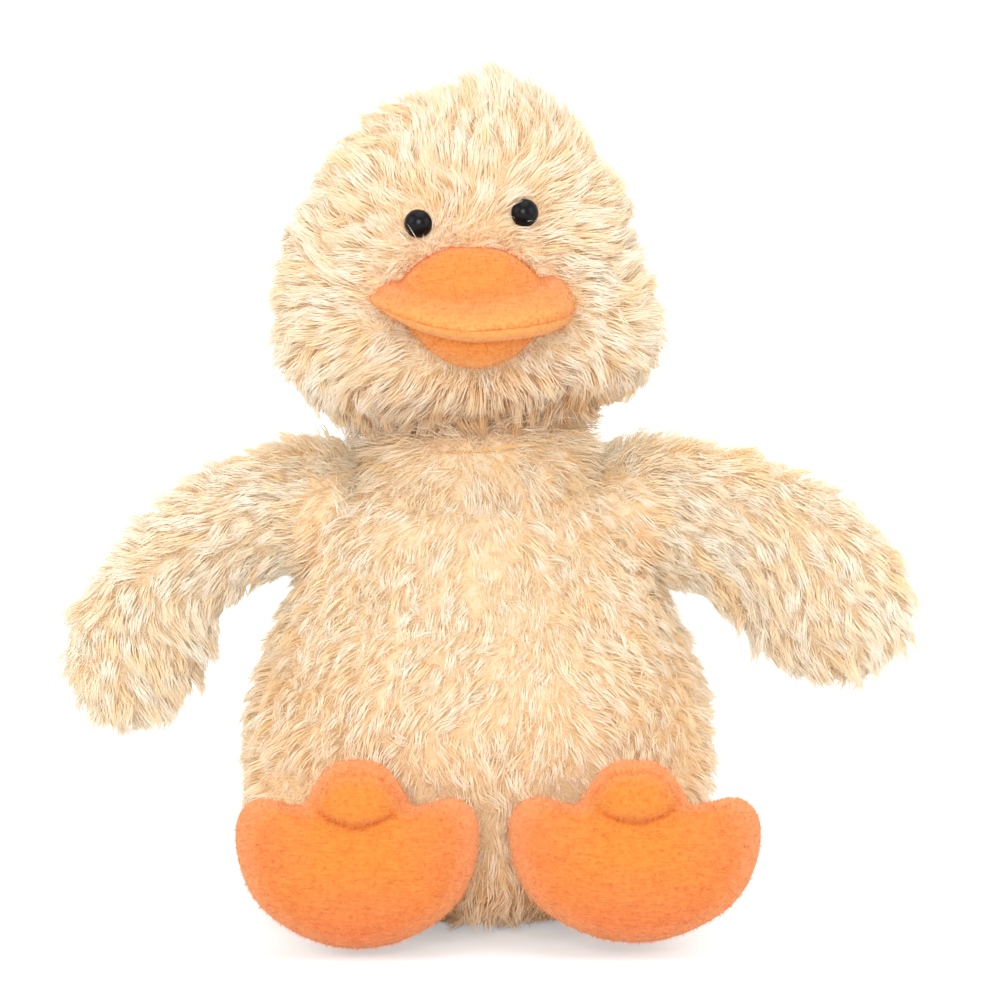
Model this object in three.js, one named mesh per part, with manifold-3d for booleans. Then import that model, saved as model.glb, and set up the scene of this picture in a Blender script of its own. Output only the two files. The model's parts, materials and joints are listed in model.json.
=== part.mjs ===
// A sitting plush duck: a pear-shaped body, a head, two wings and two webbed feet of stuffed cloth.
// Millimetres, +Z up, the face towards -Y. The origin is the middle of the flat seat under the body.
// Left and right are the duck's own, so its left side is at +X.
import * as THREE from "three";
import { mergeVertices } from "three/addons/utils/BufferGeometryUtils.js";
import Module from "manifold-3d";

const wasm = await Module();
wasm.setup();

// Cloth and clearances
const pileLength = 8;
const backingThickness = 1;
const velourThickness = 1.2;
const seamGap = 0.3;
const jointGap = 0.5;
const overrun = 5;

// Body, whose profile runs from the middle of the seat to the top of the shoulders
const bodyWidth = 139;
const bodyDepth = 114;
const bodyHeight = 133.5;
const seatPress = 0.5;
const seatPileLength = 4;
const bodyShares = [
  [0, 0],
  [0.37, 0.0015],
  [0.63, 0.02],
  [0.82, 0.072],
  [0.94, 0.156],
  [1, 0.323],
  [0.983, 0.445],
  [0.892, 0.582],
  [0.784, 0.703],
  [0.698, 0.817],
  [0.633, 0.909],
  [0.532, 0.97],
  [0.32, 0.994],
  [0, 1],
];

// Pellet bag that weights the seat
const pelletBagWidth = 84;
const pelletBagDepth = 68;
const pelletBagHeight = 26;

// Tail
const tailLength = 26;
const tailWidth = 36;
const tailHeight = 38;
const tailAngle = 32;
const tailEmbed = 18;
const tailShares = [
  [0.8, 0],
  [0.98, 0.3],
  [0.9, 0.62],
  [0.55, 0.9],
  [0, 1],
];

// Neck, where the head rolls on a ball-shaped top of the body
const neckBallRadius = 32;
const neckBallDrop = 13;
const neckOffset = 2.9;
const neckOpeningRadius = 18;
const neckThreadRadius = 0.6;
const neckThreadAngle = 58.5;

// Head
const headWidth = 112.6;
const headDepth = 98;
const headHeight = 110.7;
const headRise = 14;
const headForward = 2;
const headRoll = 5.4;
const headYaw = 2.5;
const headShares = [
  [0, 0],
  [0.284, 0.009],
  [0.462, 0.045],
  [0.657, 0.113],
  [0.835, 0.185],
  [0.959, 0.2755],
  [1, 0.379],
  [0.968, 0.497],
  [0.888, 0.623],
  [0.764, 0.745],
  [0.604, 0.849],
  [0.382, 0.939],
  [0, 1],
];

// Safety eyes and the washers that lock them
const eyeRadius = 4;
const eyeDomeHeight = 3.6;
const eyeSink = 3;
const eyeSpacing = 29.5;
const eyeHeight = 85.2;
const eyeShift = 1.6;
const eyeShankRadius = 1.4;
const washerRadius = 6;
const washerThickness = 1.5;

// Bill
const billHeight = 59.5;
const billReach = 29;
const billShift = -0.8;
const billRoll = -2.4;
const brimWidth = 56;
const brimLength = 66;
const brimThickness = 11;
const brimRise = 4.5;
const domeWidth = 39;
const domeLength = 50;
const domeThickness = 27;
const domeLift = 5;
const domeSetback = 8;
const lowerBillWidth = 38;
const lowerBillLength = 50;
const lowerBillThickness = 9;
const lowerBillSetback = 11;

// Wings, each bent along an arc
const shoulderBallRadius = 21;
const shoulderBallInset = 2;
const shoulderDrop = 17;
const shoulderForward = 2;
const wingLength = 95;
const wingHeight = 46;
const wingThickness = 30;
const wingRootGap = 3;
const wingBend = 85;
const wingSweep = 6;
const leftWingLift = 4.3;
const rightWingLift = -7.4;
const wingShares = [
  [0.9, 0],
  [0.94, 0.12],
  [0.98, 0.3],
  [1, 0.55],
  [0.98, 0.74],
  [0.84, 0.87],
  [0.56, 0.96],
  [0, 1],
];

// Legs and feet
const footWidth = 68.5;
const footHeight = 52;
const footFront = 11;
const footBack = 8;
const legRadius = 15;
const footStandOff = 9;
const leftFootOut = 43.6;
const rightFootOut = 33.2;
const leftFootLean = 6;
const rightFootLean = 2;
const footCentreShare = 0.44;
const footShares = [
  [0, 0],
  [0.37, 0.035],
  [0.66, 0.135],
  [0.875, 0.26],
  [0.98, 0.415],
  [1, 0.56],
  [0.93, 0.7],
  [0.78, 0.775],
  [0.62, 0.77],
  [0.46, 0.77],
  [0.37, 0.84],
  [0.29, 0.91],
  [0.15, 0.985],
  [0, 1],
];
const toeWidth = 25;
const toeHeight = 15;
const toeDepth = 16;
const toeDropShare = 0.17;

// How far each joint turns, in degrees, for the room that its pieces are given
const wingRange = [-10, 25];
const footRange = [-8, 15];
const sweepSteps = 4;

// Facets
const bodySides = 20;
const bodyRings = 12;
const limbSides = 16;
const limbRings = 9;
const neckBallSides = 26;
const shoulderBallSides = 20;
const ovalSides = 16;
const toeSides = 10;
const smallSides = 12;
const eyeRings = 3;
const outlineSides = 24;
const padRings = 4;

// Sizes that follow
const coat = pileLength + backingThickness;
const bodyBottom = -seatPress;
const bodyTop = bodyBottom + bodyHeight;
const neck = new THREE.Vector3(neckOffset, 0, bodyTop - neckBallDrop);
const shoulderHeight = bodyTop - shoulderDrop;
const radians = THREE.MathUtils.degToRad;

// A manifold solid from a closed geometry, turned the right way out.
function solidOf(geometry) {
  const bare = geometry.index ? geometry.toNonIndexed() : geometry.clone();
  bare.deleteAttribute("normal");
  bare.deleteAttribute("uv");
  const merged = mergeVertices(bare, 1e-4);
  const build = (triVerts) =>
    new wasm.Manifold(
      new wasm.Mesh({ numProp: 3, vertProperties: merged.attributes.position.array, triVerts }),
    );
  const triVerts = new Uint32Array(merged.index.array);
  const made = build(triVerts);
  return made.volume() < 0 ? build(triVerts.reverse()) : made;
}

// The geometry of a manifold solid.
function geometryOf(solid) {
  const mesh = solid.getMesh();
  const geometry = new THREE.BufferGeometry();
  geometry.setAttribute("position", new THREE.BufferAttribute(mesh.vertProperties, 3));
  geometry.setIndex(new THREE.BufferAttribute(mesh.triVerts, 1));
  return geometry.toNonIndexed();
}

// The same solid seen from another place.
function moved(solid, matrix) {
  return solidOf(geometryOf(solid).applyMatrix4(matrix));
}

// The turn by some degrees about an axis through a point.
function turnAbout(point, axis, degrees) {
  const turn = new THREE.Matrix4().makeRotationAxis(axis, radians(degrees));
  const back = new THREE.Matrix4().makeTranslation(-point.x, -point.y, -point.z);
  return new THREE.Matrix4().makeTranslation(point.x, point.y, point.z).multiply(turn).multiply(back);
}

// A piece cut by its larger neighbour at rest and at every angle that its joint takes it through.
function cutThroughTurn(piece, neighbour, placed, point, axis, range) {
  let cut = piece;
  for (let step = 0; step < sweepSteps; step++) {
    const degrees = THREE.MathUtils.lerp(range[0], range[1], step / (sweepSteps - 1));
    const there = turnAbout(point, axis, degrees).multiply(placed).invert();
    cut = cut.subtract(moved(neighbour, there));
  }
  return cut;
}

// A profile drawn smoothly through shares of a half width and a height, from the bottom up.
function profileThrough(shares, halfWidth, height, count) {
  const points = shares.map(([across, up]) => new THREE.Vector2(across * halfWidth, up * height));
  const smooth = new THREE.SplineCurve(points).getSpacedPoints(count);
  smooth.forEach((point) => (point.x = Math.max(0, point.x)));
  return smooth;
}

// How wide such a profile is at a height.
function widthAt(shares, halfWidth, height, level) {
  const points = profileThrough(shares, halfWidth, height, 200);
  const upper = points.findIndex((point, i) => i > 0 && point.y >= level);
  const [a, b] = [points[upper - 1], points[upper]];
  return a.x + ((b.x - a.x) * (level - a.y)) / (b.y - a.y);
}

// A stuffed form round the Z axis, oval in plan, from a bottom level up.
function stuffedForm(shares, width, depth, height, bottom, sides, rings) {
  const profile = profileThrough(shares, width / 2, height, rings);
  profile[0].x = 0;
  profile[profile.length - 1].x = 0;
  const form = new THREE.LatheGeometry(profile, sides);
  form.rotateX(Math.PI / 2);
  form.scale(1, depth / width, 1);
  form.translate(0, 0, bottom);
  return form;
}

// A closed skin over rings of points, which all have the same number of points.
function skinOver(rings, first, last) {
  const sides = rings[0].length;
  const points = [first, ...rings.flat(), last];
  const at = (ring, side) => 1 + ring * sides + (side % sides);
  const index = [];
  for (let side = 0; side < sides; side++) {
    index.push(0, at(0, side + 1), at(0, side));
    index.push(points.length - 1, at(rings.length - 1, side), at(rings.length - 1, side + 1));
    for (let ring = 0; ring < rings.length - 1; ring++) {
      index.push(at(ring, side), at(ring, side + 1), at(ring + 1, side));
      index.push(at(ring, side + 1), at(ring + 1, side + 1), at(ring + 1, side));
    }
  }
  const skin = new THREE.BufferGeometry().setFromPoints(points);
  skin.setIndex(index);
  return skin;
}

function ball(radius, centre, sides) {
  const sphere = new THREE.SphereGeometry(radius, sides, sides / 2);
  sphere.rotateX(Math.PI / 2);
  return sphere.translate(centre.x, centre.y, centre.z);
}

function ovalBall(width, depth, height, centre, sides = ovalSides) {
  const oval = ball(1, new THREE.Vector3(), sides);
  oval.scale(width / 2, depth / 2, height / 2);
  return oval.translate(centre.x, centre.y, centre.z);
}

// A rod along Z between two levels.
function uprightRod(radius, low, high, centre, sides = smallSides) {
  const rod = new THREE.CylinderGeometry(radius, radius, high - low, sides);
  rod.rotateX(Math.PI / 2);
  return rod.translate(centre.x, centre.y, (low + high) / 2);
}

function block(low, high) {
  const size = new THREE.Vector3().subVectors(high, low);
  const box = new THREE.BoxGeometry(size.x, size.y, size.z);
  return box.translate((low.x + high.x) / 2, (low.y + high.y) / 2, (low.z + high.z) / 2);
}

// The room under the table that the duck sits on.
const floorCutter = solidOf(
  block(
    new THREE.Vector3(-bodyWidth, -bodyWidth, -bodyWidth),
    new THREE.Vector3(bodyWidth, bodyWidth, 0),
  ),
);

// Materials
const cloths = {
  fur: { color: 0xfae3bf, roughness: 0.95 },
  velour: { color: 0xfb9b4a, roughness: 0.85 },
  stuffing: { color: 0xf6f4ee, roughness: 0.95 },
  pellets: { color: 0xe9e3d2, roughness: 0.9 },
  eye: { color: 0x17161a, roughness: 0.15 },
  washer: { color: 0xe8e8e6, roughness: 0.6 },
  thread: { color: 0xf0dcb4, roughness: 0.8 },
};

function piece(name, solid, cloth) {
  const geometry = geometryOf(solid);
  geometry.computeVertexNormals();
  const material = new THREE.MeshStandardMaterial({ ...cloths[cloth], metalness: 0 });
  const mesh = new THREE.Mesh(geometry, material);
  mesh.name = name;
  return mesh;
}

const duck = new THREE.Group();
const sides = [
  { name: "left", sign: 1, wingLift: leftWingLift, footOut: leftFootOut, footLean: leftFootLean },
  { name: "right", sign: -1, wingLift: rightWingLift, footOut: rightFootOut, footLean: rightFootLean },
];

// Body: a fur cover over fibre stuffing, with a bag of pellets in the seat. The outer form is the pile's.
const bodyHalfWidthAt = (level) => widthAt(bodyShares, bodyWidth / 2, bodyHeight, level - bodyBottom);
const bodyFrontAt = (level, across) => {
  const halfWidth = bodyHalfWidthAt(level);
  return (-halfWidth * bodyDepth * Math.sqrt(1 - (across / halfWidth) ** 2)) / bodyWidth;
};
for (const side of sides) {
  side.shoulder = new THREE.Vector3(
    side.sign * (bodyHalfWidthAt(shoulderHeight) - shoulderBallInset),
    -shoulderForward,
    shoulderHeight,
  );
}

// The pear of the body, larger all over by an amount.
function bodyPear(grow) {
  const pear = stuffedForm(
    bodyShares,
    bodyWidth + 2 * grow,
    bodyDepth + 2 * grow,
    bodyHeight + 2 * grow,
    bodyBottom - grow,
    bodySides,
    bodyRings,
  );
  return solidOf(pear);
}

// The pear with the round top that carries the head and the round shoulders that carry the wings.
function bodyForm(grow) {
  let form = bodyPear(grow).add(solidOf(ball(neckBallRadius + grow, neck, neckBallSides)));
  for (const side of sides) {
    form = form.add(solidOf(ball(shoulderBallRadius + grow, side.shoulder, shoulderBallSides)));
  }
  return form;
}

// The space inside the cover, smaller by an amount, up to the neck opening.
function bodyInside(shrink) {
  const inset = coat + shrink;
  const bottom = seatPileLength + backingThickness + shrink;
  const pear = stuffedForm(
    bodyShares,
    bodyWidth - 2 * inset,
    bodyDepth - 2 * inset,
    bodyTop - inset - bottom,
    bottom,
    limbSides,
    limbRings,
  );
  const opening = uprightRod(neckOpeningRadius - shrink, neck.z, neck.z + 2 * neckBallRadius, neck);
  return solidOf(pear).add(solidOf(opening));
}

const body = bodyForm(0).subtract(floorCutter);
const pearClear = bodyPear(jointGap);
const pelletBagCentre = new THREE.Vector3(
  0,
  0,
  seatPileLength + backingThickness + 2 * seamGap + pelletBagHeight / 2,
);
const pelletSpace = (grow) =>
  solidOf(
    ovalBall(
      pelletBagWidth + 2 * grow,
      pelletBagDepth + 2 * grow,
      pelletBagHeight + 2 * grow,
      pelletBagCentre,
    ),
  );
const pelletWell = solidOf(
  uprightRod(pelletBagWidth / 4, 0, pelletBagCentre.z, pelletBagCentre),
);
const neckDome = solidOf(ball(neckBallRadius, neck, neckBallSides));
const neckShell = bodyInside(seamGap).subtract(
  solidOf(uprightRod(neckOpeningRadius * 2, neck.z, neck.z + 3 * neckBallRadius, neck)).subtract(neckDome),
);
duck.add(piece("body_cover", body.subtract(bodyInside(0)), "fur"));
duck.add(piece("body_stuffing", neckShell.subtract(pelletSpace(seamGap)).subtract(pelletWell), "stuffing"));
duck.add(piece("pellet_bag", pelletSpace(0), "pellets"));

// Tail: a short stuffed cone of the same fur, sewn low on the back.
const tailRoot = new THREE.Vector3(0, (bodyHalfWidthAt(tailHeight) * bodyDepth) / bodyWidth, tailHeight);

function tailForm(shrink) {
  const profile = profileThrough(
    tailShares,
    tailWidth / 2 - shrink,
    tailEmbed + tailLength - shrink,
    limbRings,
  );
  profile[profile.length - 1].x = 0;
  profile.unshift(new THREE.Vector2(0, 0));
  const form = new THREE.LatheGeometry(profile, limbSides);
  form.translate(0, -tailEmbed, 0);
  form.rotateX(radians(tailAngle));
  return solidOf(form.translate(tailRoot.x, tailRoot.y, tailRoot.z));
}

const bodySeam = bodyForm(seamGap);
duck.add(piece("tail_cover", tailForm(0).subtract(bodySeam).subtract(tailForm(coat)), "fur"));
duck.add(piece("tail_stuffing", tailForm(coat + seamGap).subtract(bodySeam), "stuffing"));

// Head: its own group, with the neck ball's centre as origin, rolled and turned a little.
const head = new THREE.Group();
head.position.copy(neck);
head.rotation.set(0, radians(-headRoll), radians(headYaw));
duck.add(head);
const headHalfWidthAt = (level) => widthAt(headShares, headWidth / 2, headHeight, level - headRise);
const headFrontAt = (level, across) => {
  const halfWidth = headHalfWidthAt(level);
  const halfDepth = (halfWidth * headDepth) / headWidth;
  return -headForward - halfDepth * Math.sqrt(1 - (across / halfWidth) ** 2);
};

function headForm(shrink, around = limbSides, up = limbRings) {
  const form = stuffedForm(
    headShares,
    headWidth - 2 * shrink,
    headDepth - 2 * shrink,
    headHeight - 2 * shrink,
    headRise + shrink,
    around,
    up,
  );
  return solidOf(form.translate(0, -headForward, 0));
}

// The opening at the neck, from inside the neck ball up to the middle of the head.
function headOpening(shrink) {
  const origin = new THREE.Vector3();
  return solidOf(uprightRod(neckOpeningRadius - shrink, 0, headRise + headHeight / 3, origin));
}

// The upper bill's form: a flat brim with its ends raised, and a dome on it.
const brimFront = headFrontAt(billHeight, 0) - billReach;
const brimCentre = new THREE.Vector3(0, brimFront + brimLength / 2, billHeight);
const domeCentre = new THREE.Vector3(
  0,
  brimFront + domeSetback + domeLength / 2,
  billHeight + domeLift,
);

function raiseEnds(geometry) {
  const position = geometry.attributes.position;
  for (let i = 0; i < position.count; i++) {
    const across = position.getX(i) / (brimWidth / 2);
    position.setZ(i, position.getZ(i) + brimRise * across ** 2);
  }
  return geometry;
}

function setBill(geometry) {
  const turned = turnAbout(brimCentre, new THREE.Vector3(0, -1, 0), billRoll);
  return solidOf(geometry.applyMatrix4(turned).translate(billShift, 0, 0));
}

function upperBillForm(grow) {
  const brim = ovalBall(brimWidth + 2 * grow, brimLength + 2 * grow, brimThickness + 2 * grow, brimCentre);
  const dome = ovalBall(domeWidth + 2 * grow, domeLength + 2 * grow, domeThickness + 2 * grow, domeCentre);
  const above = raiseEnds(billHalf(1, 0));
  return setBill(raiseEnds(brim)).add(setBill(dome).intersect(setBill(above)));
}

// Half of the space round the bill, above or below the seam along the brim's edge.
function billHalf(sign, gap) {
  const near = billHeight + (sign * gap) / 2;
  const far = billHeight + sign * headHeight;
  const size = Math.abs(far - near);
  const half = new THREE.BoxGeometry(2 * brimWidth, 4 * brimLength, size, smallSides, 1, 1);
  return half.translate(0, brimCentre.y, (near + far) / 2);
}

const lowerBillCentre = new THREE.Vector3(
  0,
  brimFront + lowerBillSetback + lowerBillLength / 2,
  billHeight - brimThickness / 2 - seamGap - lowerBillThickness / 2,
);

function lowerBillForm(grow) {
  return setBill(
    ovalBall(
      lowerBillWidth + 2 * grow,
      lowerBillLength + 2 * grow,
      lowerBillThickness + 2 * grow,
      lowerBillCentre,
    ),
  );
}

const headSkin = headForm(coat - seamGap);
const upperBillShell = upperBillForm(0).subtract(upperBillForm(-velourThickness)).subtract(headSkin);
const upperBillClear = upperBillForm(seamGap);
const lowerBillShell = lowerBillForm(0).subtract(lowerBillForm(-velourThickness));
head.add(
  piece(
    "upper_bill_top",
    upperBillShell.intersect(setBill(raiseEnds(billHalf(1, seamGap)))),
    "velour",
  ),
);
head.add(
  piece(
    "upper_bill_lining",
    upperBillShell.intersect(setBill(raiseEnds(billHalf(-1, seamGap)))),
    "velour",
  ),
);
head.add(
  piece(
    "upper_bill_stuffing",
    upperBillForm(-velourThickness - seamGap).subtract(headSkin),
    "stuffing",
  ),
);
head.add(
  piece("lower_bill_cover", lowerBillShell.subtract(upperBillClear).subtract(headSkin), "velour"),
);
head.add(
  piece(
    "lower_bill_stuffing",
    lowerBillForm(-velourThickness - seamGap).subtract(upperBillClear).subtract(headSkin),
    "stuffing",
  ),
);

// A round piece whose profile runs along -Y from an eye's place on the pile, out of the head.
function atEye(geometry, sign) {
  const across = eyeShift + (sign * eyeSpacing) / 2;
  const front = headFrontAt(eyeHeight, across);
  geometry.rotateX(Math.PI);
  geometry.rotateZ(Math.atan2(across, -front));
  return solidOf(geometry.translate(across, front, eyeHeight));
}

// A rod at an eye between two depths under the pile's surface.
function eyeRod(radius, shallow, deep, sign) {
  const rod = new THREE.CylinderGeometry(radius, radius, deep - shallow, smallSides);
  return atEye(rod.translate(0, -(shallow + deep) / 2, 0), sign);
}

const shankEnd = coat + seamGap + washerThickness + seamGap;
let headCover = headForm(0, bodySides, bodyRings).subtract(headForm(coat));
let headStuffing = headForm(coat + seamGap).add(headOpening(seamGap));
for (const side of sides) {
  const profile = [new THREE.Vector2(0, -shankEnd)];
  profile.push(new THREE.Vector2(eyeShankRadius, -shankEnd));
  profile.push(new THREE.Vector2(eyeShankRadius, -eyeSink));
  for (let step = 0; step <= eyeRings; step++) {
    const angle = (step / eyeRings) * (Math.PI / 2);
    const across = step === eyeRings ? 0 : eyeRadius * Math.cos(angle);
    profile.push(new THREE.Vector2(across, eyeDomeHeight * Math.sin(angle) - eyeSink));
  }
  const eye = new THREE.LatheGeometry(profile, smallSides);
  head.add(piece(side.name + "_eye", atEye(eye, side.sign), "eye"));
  const washer = eyeRod(washerRadius, coat + seamGap, coat + seamGap + washerThickness, side.sign);
  const bore = eyeRod(eyeShankRadius + seamGap, 0, shankEnd + overrun, side.sign);
  head.add(piece(side.name + "_eye_washer", washer.subtract(bore), "washer"));
  headCover = headCover
    .subtract(eyeRod(eyeRadius + seamGap, -overrun, pileLength, side.sign))
    .subtract(eyeRod(washerRadius + seamGap, coat, shankEnd + overrun, side.sign))
    .subtract(bore);
  const pocket = eyeRod(washerRadius + seamGap, 0, shankEnd + seamGap, side.sign);
  headStuffing = headStuffing.subtract(pocket);
}
const neckClear = solidOf(
  ball(neckBallRadius + jointGap, new THREE.Vector3(), neckBallSides),
);
headCover = headCover
  .subtract(upperBillClear)
  .subtract(lowerBillForm(seamGap))
  .subtract(headOpening(0))
  .subtract(neckClear);
head.add(piece("head_cover", headCover, "fur"));
head.add(piece("head_stuffing", headStuffing.subtract(neckClear), "stuffing"));

// Neck thread: the drawn stitch round the neck seam, just outside the head cover's rim.
const threadReach = neckBallRadius + jointGap + neckThreadRadius;
const threadRing = new THREE.TorusGeometry(
  threadReach * Math.sin(radians(neckThreadAngle)),
  neckThreadRadius,
  5,
  bodySides,
);
threadRing.translate(0, 0, threadReach * Math.cos(radians(neckThreadAngle)));
head.add(piece("neck_thread", solidOf(threadRing), "thread"));

// Wings: each is bent down along an arc from its shoulder and rounds off at the tip.
function wingForm(sign, shrink) {
  const bend = radians(wingBend);
  const arcRadius = wingLength / bend;
  const profile = profileThrough(wingShares, 1, 1, limbRings);
  const pointAt = (along, up, out) => {
    const angle = bend * along;
    const radius = arcRadius + up;
    return new THREE.Vector3(
      sign * radius * Math.sin(angle),
      out,
      radius * Math.cos(angle) - arcRadius,
    );
  };
  const start = wingRootGap / wingLength;
  const end = 1 - shrink / wingLength;
  const rings = profile.slice(0, -1).map((point) => {
    const along = start + (end - start) * point.y;
    const ring = [];
    for (let side = 0; side < limbSides; side++) {
      const angle = (side / limbSides) * 2 * Math.PI;
      const up = point.x * (wingHeight / 2 - shrink) * Math.sin(angle);
      ring.push(pointAt(along, up, point.x * (wingThickness / 2 - shrink) * Math.cos(angle)));
    }
    return ring;
  });
  return solidOf(skinOver(rings, pointAt(start, 0, 0), pointAt(end, 0, 0)));
}

for (const side of sides) {
  const wing = new THREE.Group();
  wing.position.copy(side.shoulder);
  wing.rotation.set(0, -side.sign * radians(side.wingLift), -side.sign * radians(wingSweep));
  duck.add(wing);
  wing.updateMatrix();
  const axis = new THREE.Vector3(0, -side.sign, 0);
  const shoulderClear = solidOf(
    ball(shoulderBallRadius + jointGap, new THREE.Vector3(), shoulderBallSides),
  );
  const cut = (form) =>
    cutThroughTurn(
      form.subtract(shoulderClear),
      pearClear,
      wing.matrix,
      side.shoulder,
      axis,
      wingRange,
    );
  const cover = cut(wingForm(side.sign, 0));
  const inside = wingForm(side.sign, coat);
  wing.add(piece(side.name + "_wing_cover", cover.subtract(inside), "fur"));
  wing.add(piece(side.name + "_wing_stuffing", cut(wingForm(side.sign, coat + seamGap)), "stuffing"));
}

// A foot's outline on both sides of its middle line, drawn smoothly, less an inset towards its centre.
function footOutline(inset) {
  const half = footShares.map(
    ([across, up]) => new THREE.Vector3((across * footWidth) / 2, 0, up * footHeight),
  );
  const other = half.slice(1, -1).reverse();
  const mirrored = other.map((point) => new THREE.Vector3(-point.x, 0, point.z));
  const centre = new THREE.Vector3(0, 0, footHeight * footCentreShare);
  const curve = new THREE.CatmullRomCurve3([...half, ...mirrored], true);
  return curve.getPoints(outlineSides).slice(0, -1).map((point) => {
    const spoke = point.sub(centre);
    return spoke.setLength(spoke.length() - inset).add(centre);
  });
}

// A foot's stuffed pad: full in the middle and drawn in to the seam round its edge.
function footPad(inset) {
  const outline = footOutline(inset);
  const centre = new THREE.Vector3(0, 0, footHeight * footCentreShare);
  const rings = [];
  for (let ring = 1 - padRings; ring < padRings; ring++) {
    const angle = (ring / padRings) * (Math.PI / 2);
    const deep = Math.sin(angle) * (angle < 0 ? footFront - inset : footBack - inset);
    const share = Math.cos(angle) ** 0.75;
    rings.push(
      outline.map((point) => {
        const at = centre.clone().lerp(point, share);
        at.y = deep;
        return at;
      }),
    );
  }
  const front = centre.clone().setY(inset - footFront);
  const back = centre.clone().setY(footBack - inset);
  const pad = solidOf(skinOver(rings, front, back));
  const toeCentre = new THREE.Vector3(0, -footFront / 2, footHeight * (1 - toeDropShare));
  const toe = ovalBall(
    toeWidth - 2 * inset,
    toeDepth - 2 * inset,
    toeHeight - 2 * inset,
    toeCentre,
    toeSides,
  );
  return pad.add(solidOf(toe));
}

// Legs and feet: a short furry leg behind a velour pad that stands on its rounded heel.
for (const side of sides) {
  const heelDrop = footHeight * footCentreShare;
  const bellyAt = (across) => bodyFrontAt(heelDrop, across);
  const innerEdge = Math.max(0, side.footOut - footWidth / 2);
  const reach = bellyAt(side.footOut) - bellyAt(innerEdge) + footStandOff;
  const lean = radians(side.footLean);
  const hip = new THREE.Vector3(
    side.sign * side.footOut,
    bellyAt(side.footOut),
    heelDrop * Math.cos(lean) - reach * Math.sin(lean) - seatPress,
  );
  const foot = new THREE.Group();
  foot.position.copy(hip);
  foot.rotation.set(-lean, 0, 0);
  duck.add(foot);
  foot.updateMatrix();
  const floorHere = moved(floorCutter, foot.matrix.clone().invert());
  const axis = new THREE.Vector3(1, 0, 0);
  const cut = (form) => cutThroughTurn(form, pearClear, foot.matrix, hip, axis, footRange);
  const inPlace = (pad) =>
    moved(pad, new THREE.Matrix4().makeTranslation(0, -reach, -heelDrop));
  const pad = inPlace(footPad(0)).subtract(floorHere);
  const padInside = inPlace(footPad(velourThickness));
  const padStuffing = inPlace(footPad(velourThickness + seamGap));
  const legRod = (radius, back) => {
    const rod = new THREE.CylinderGeometry(radius, radius, reach + back, smallSides);
    return solidOf(rod.translate(0, (back - reach) / 2, 0));
  };
  const frontHalf = solidOf(
    block(
      new THREE.Vector3(-footWidth, -reach - 2 * footFront, -footHeight),
      new THREE.Vector3(footWidth, -reach - seamGap / 2, footHeight),
    ),
  );
  const backHalf = solidOf(
    block(
      new THREE.Vector3(-footWidth, -reach + seamGap / 2, -footHeight),
      new THREE.Vector3(footWidth, 0, footHeight),
    ),
  );
  const shell = pad.subtract(padInside);
  const padClear = inPlace(footPad(-seamGap));
  const marrow = legRadius - coat;
  foot.add(piece(side.name + "_foot_sole", shell.intersect(frontHalf), "velour"));
  foot.add(
    piece(
      side.name + "_foot_upper",
      shell.intersect(backHalf).subtract(legRod(marrow + seamGap, overrun)),
      "velour",
    ),
  );
  foot.add(piece(side.name + "_foot_stuffing", padStuffing.subtract(floorHere), "stuffing"));
  const leg = cut(legRod(legRadius, coat)).subtract(floorHere).subtract(padClear);
  foot.add(piece(side.name + "_leg_cover", leg.subtract(legRod(marrow, coat + overrun)), "fur"));
  foot.add(
    piece(
      side.name + "_leg_stuffing",
      cut(legRod(marrow - seamGap, coat)).subtract(inPlace(footPad(velourThickness))),
      "stuffing",
    ),
  );
}

export default duck;
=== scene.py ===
import json
import math
from functools import partial

import bmesh
import bpy
import numpy as np
from mathutils import Matrix, Vector
from mathutils.kdtree import KDTree


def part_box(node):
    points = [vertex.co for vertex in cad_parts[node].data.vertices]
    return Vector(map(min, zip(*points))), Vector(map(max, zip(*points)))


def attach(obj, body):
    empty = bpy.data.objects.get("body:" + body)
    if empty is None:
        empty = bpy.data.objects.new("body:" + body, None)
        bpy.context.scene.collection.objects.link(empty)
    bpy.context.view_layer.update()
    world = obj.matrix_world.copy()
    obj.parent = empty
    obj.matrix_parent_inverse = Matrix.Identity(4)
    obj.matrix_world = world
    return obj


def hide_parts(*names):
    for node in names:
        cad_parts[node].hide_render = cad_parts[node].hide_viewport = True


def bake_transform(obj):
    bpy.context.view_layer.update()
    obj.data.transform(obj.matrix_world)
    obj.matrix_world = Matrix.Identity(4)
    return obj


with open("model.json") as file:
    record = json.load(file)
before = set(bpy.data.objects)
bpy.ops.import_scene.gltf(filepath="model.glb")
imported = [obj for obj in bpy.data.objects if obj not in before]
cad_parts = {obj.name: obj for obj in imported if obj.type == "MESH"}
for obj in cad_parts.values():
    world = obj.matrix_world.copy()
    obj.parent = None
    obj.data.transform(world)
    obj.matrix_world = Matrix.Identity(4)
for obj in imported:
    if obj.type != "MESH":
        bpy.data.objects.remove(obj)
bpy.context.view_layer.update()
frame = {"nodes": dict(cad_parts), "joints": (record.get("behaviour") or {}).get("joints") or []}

# Camera: a long lens a little above the duck, level with its chest, as in the photograph.
camera_distance = 1.6
camera_rise = math.radians(8)
camera_aim = Vector((0.0063, 0, 0.1192))
view_width = 0.2857
sensor_width = 36
camera = bpy.data.objects.new("camera", bpy.data.cameras.new("camera"))
camera.data.sensor_width = sensor_width
camera.data.lens = sensor_width * camera_distance / view_width
towards_camera = Vector((0, -math.cos(camera_rise), math.sin(camera_rise)))
camera.location = camera_aim + towards_camera * camera_distance
camera.rotation_euler = towards_camera.to_track_quat("Z", "Y").to_euler()
bpy.context.scene.collection.objects.link(camera)
bpy.context.scene.camera = camera

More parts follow.
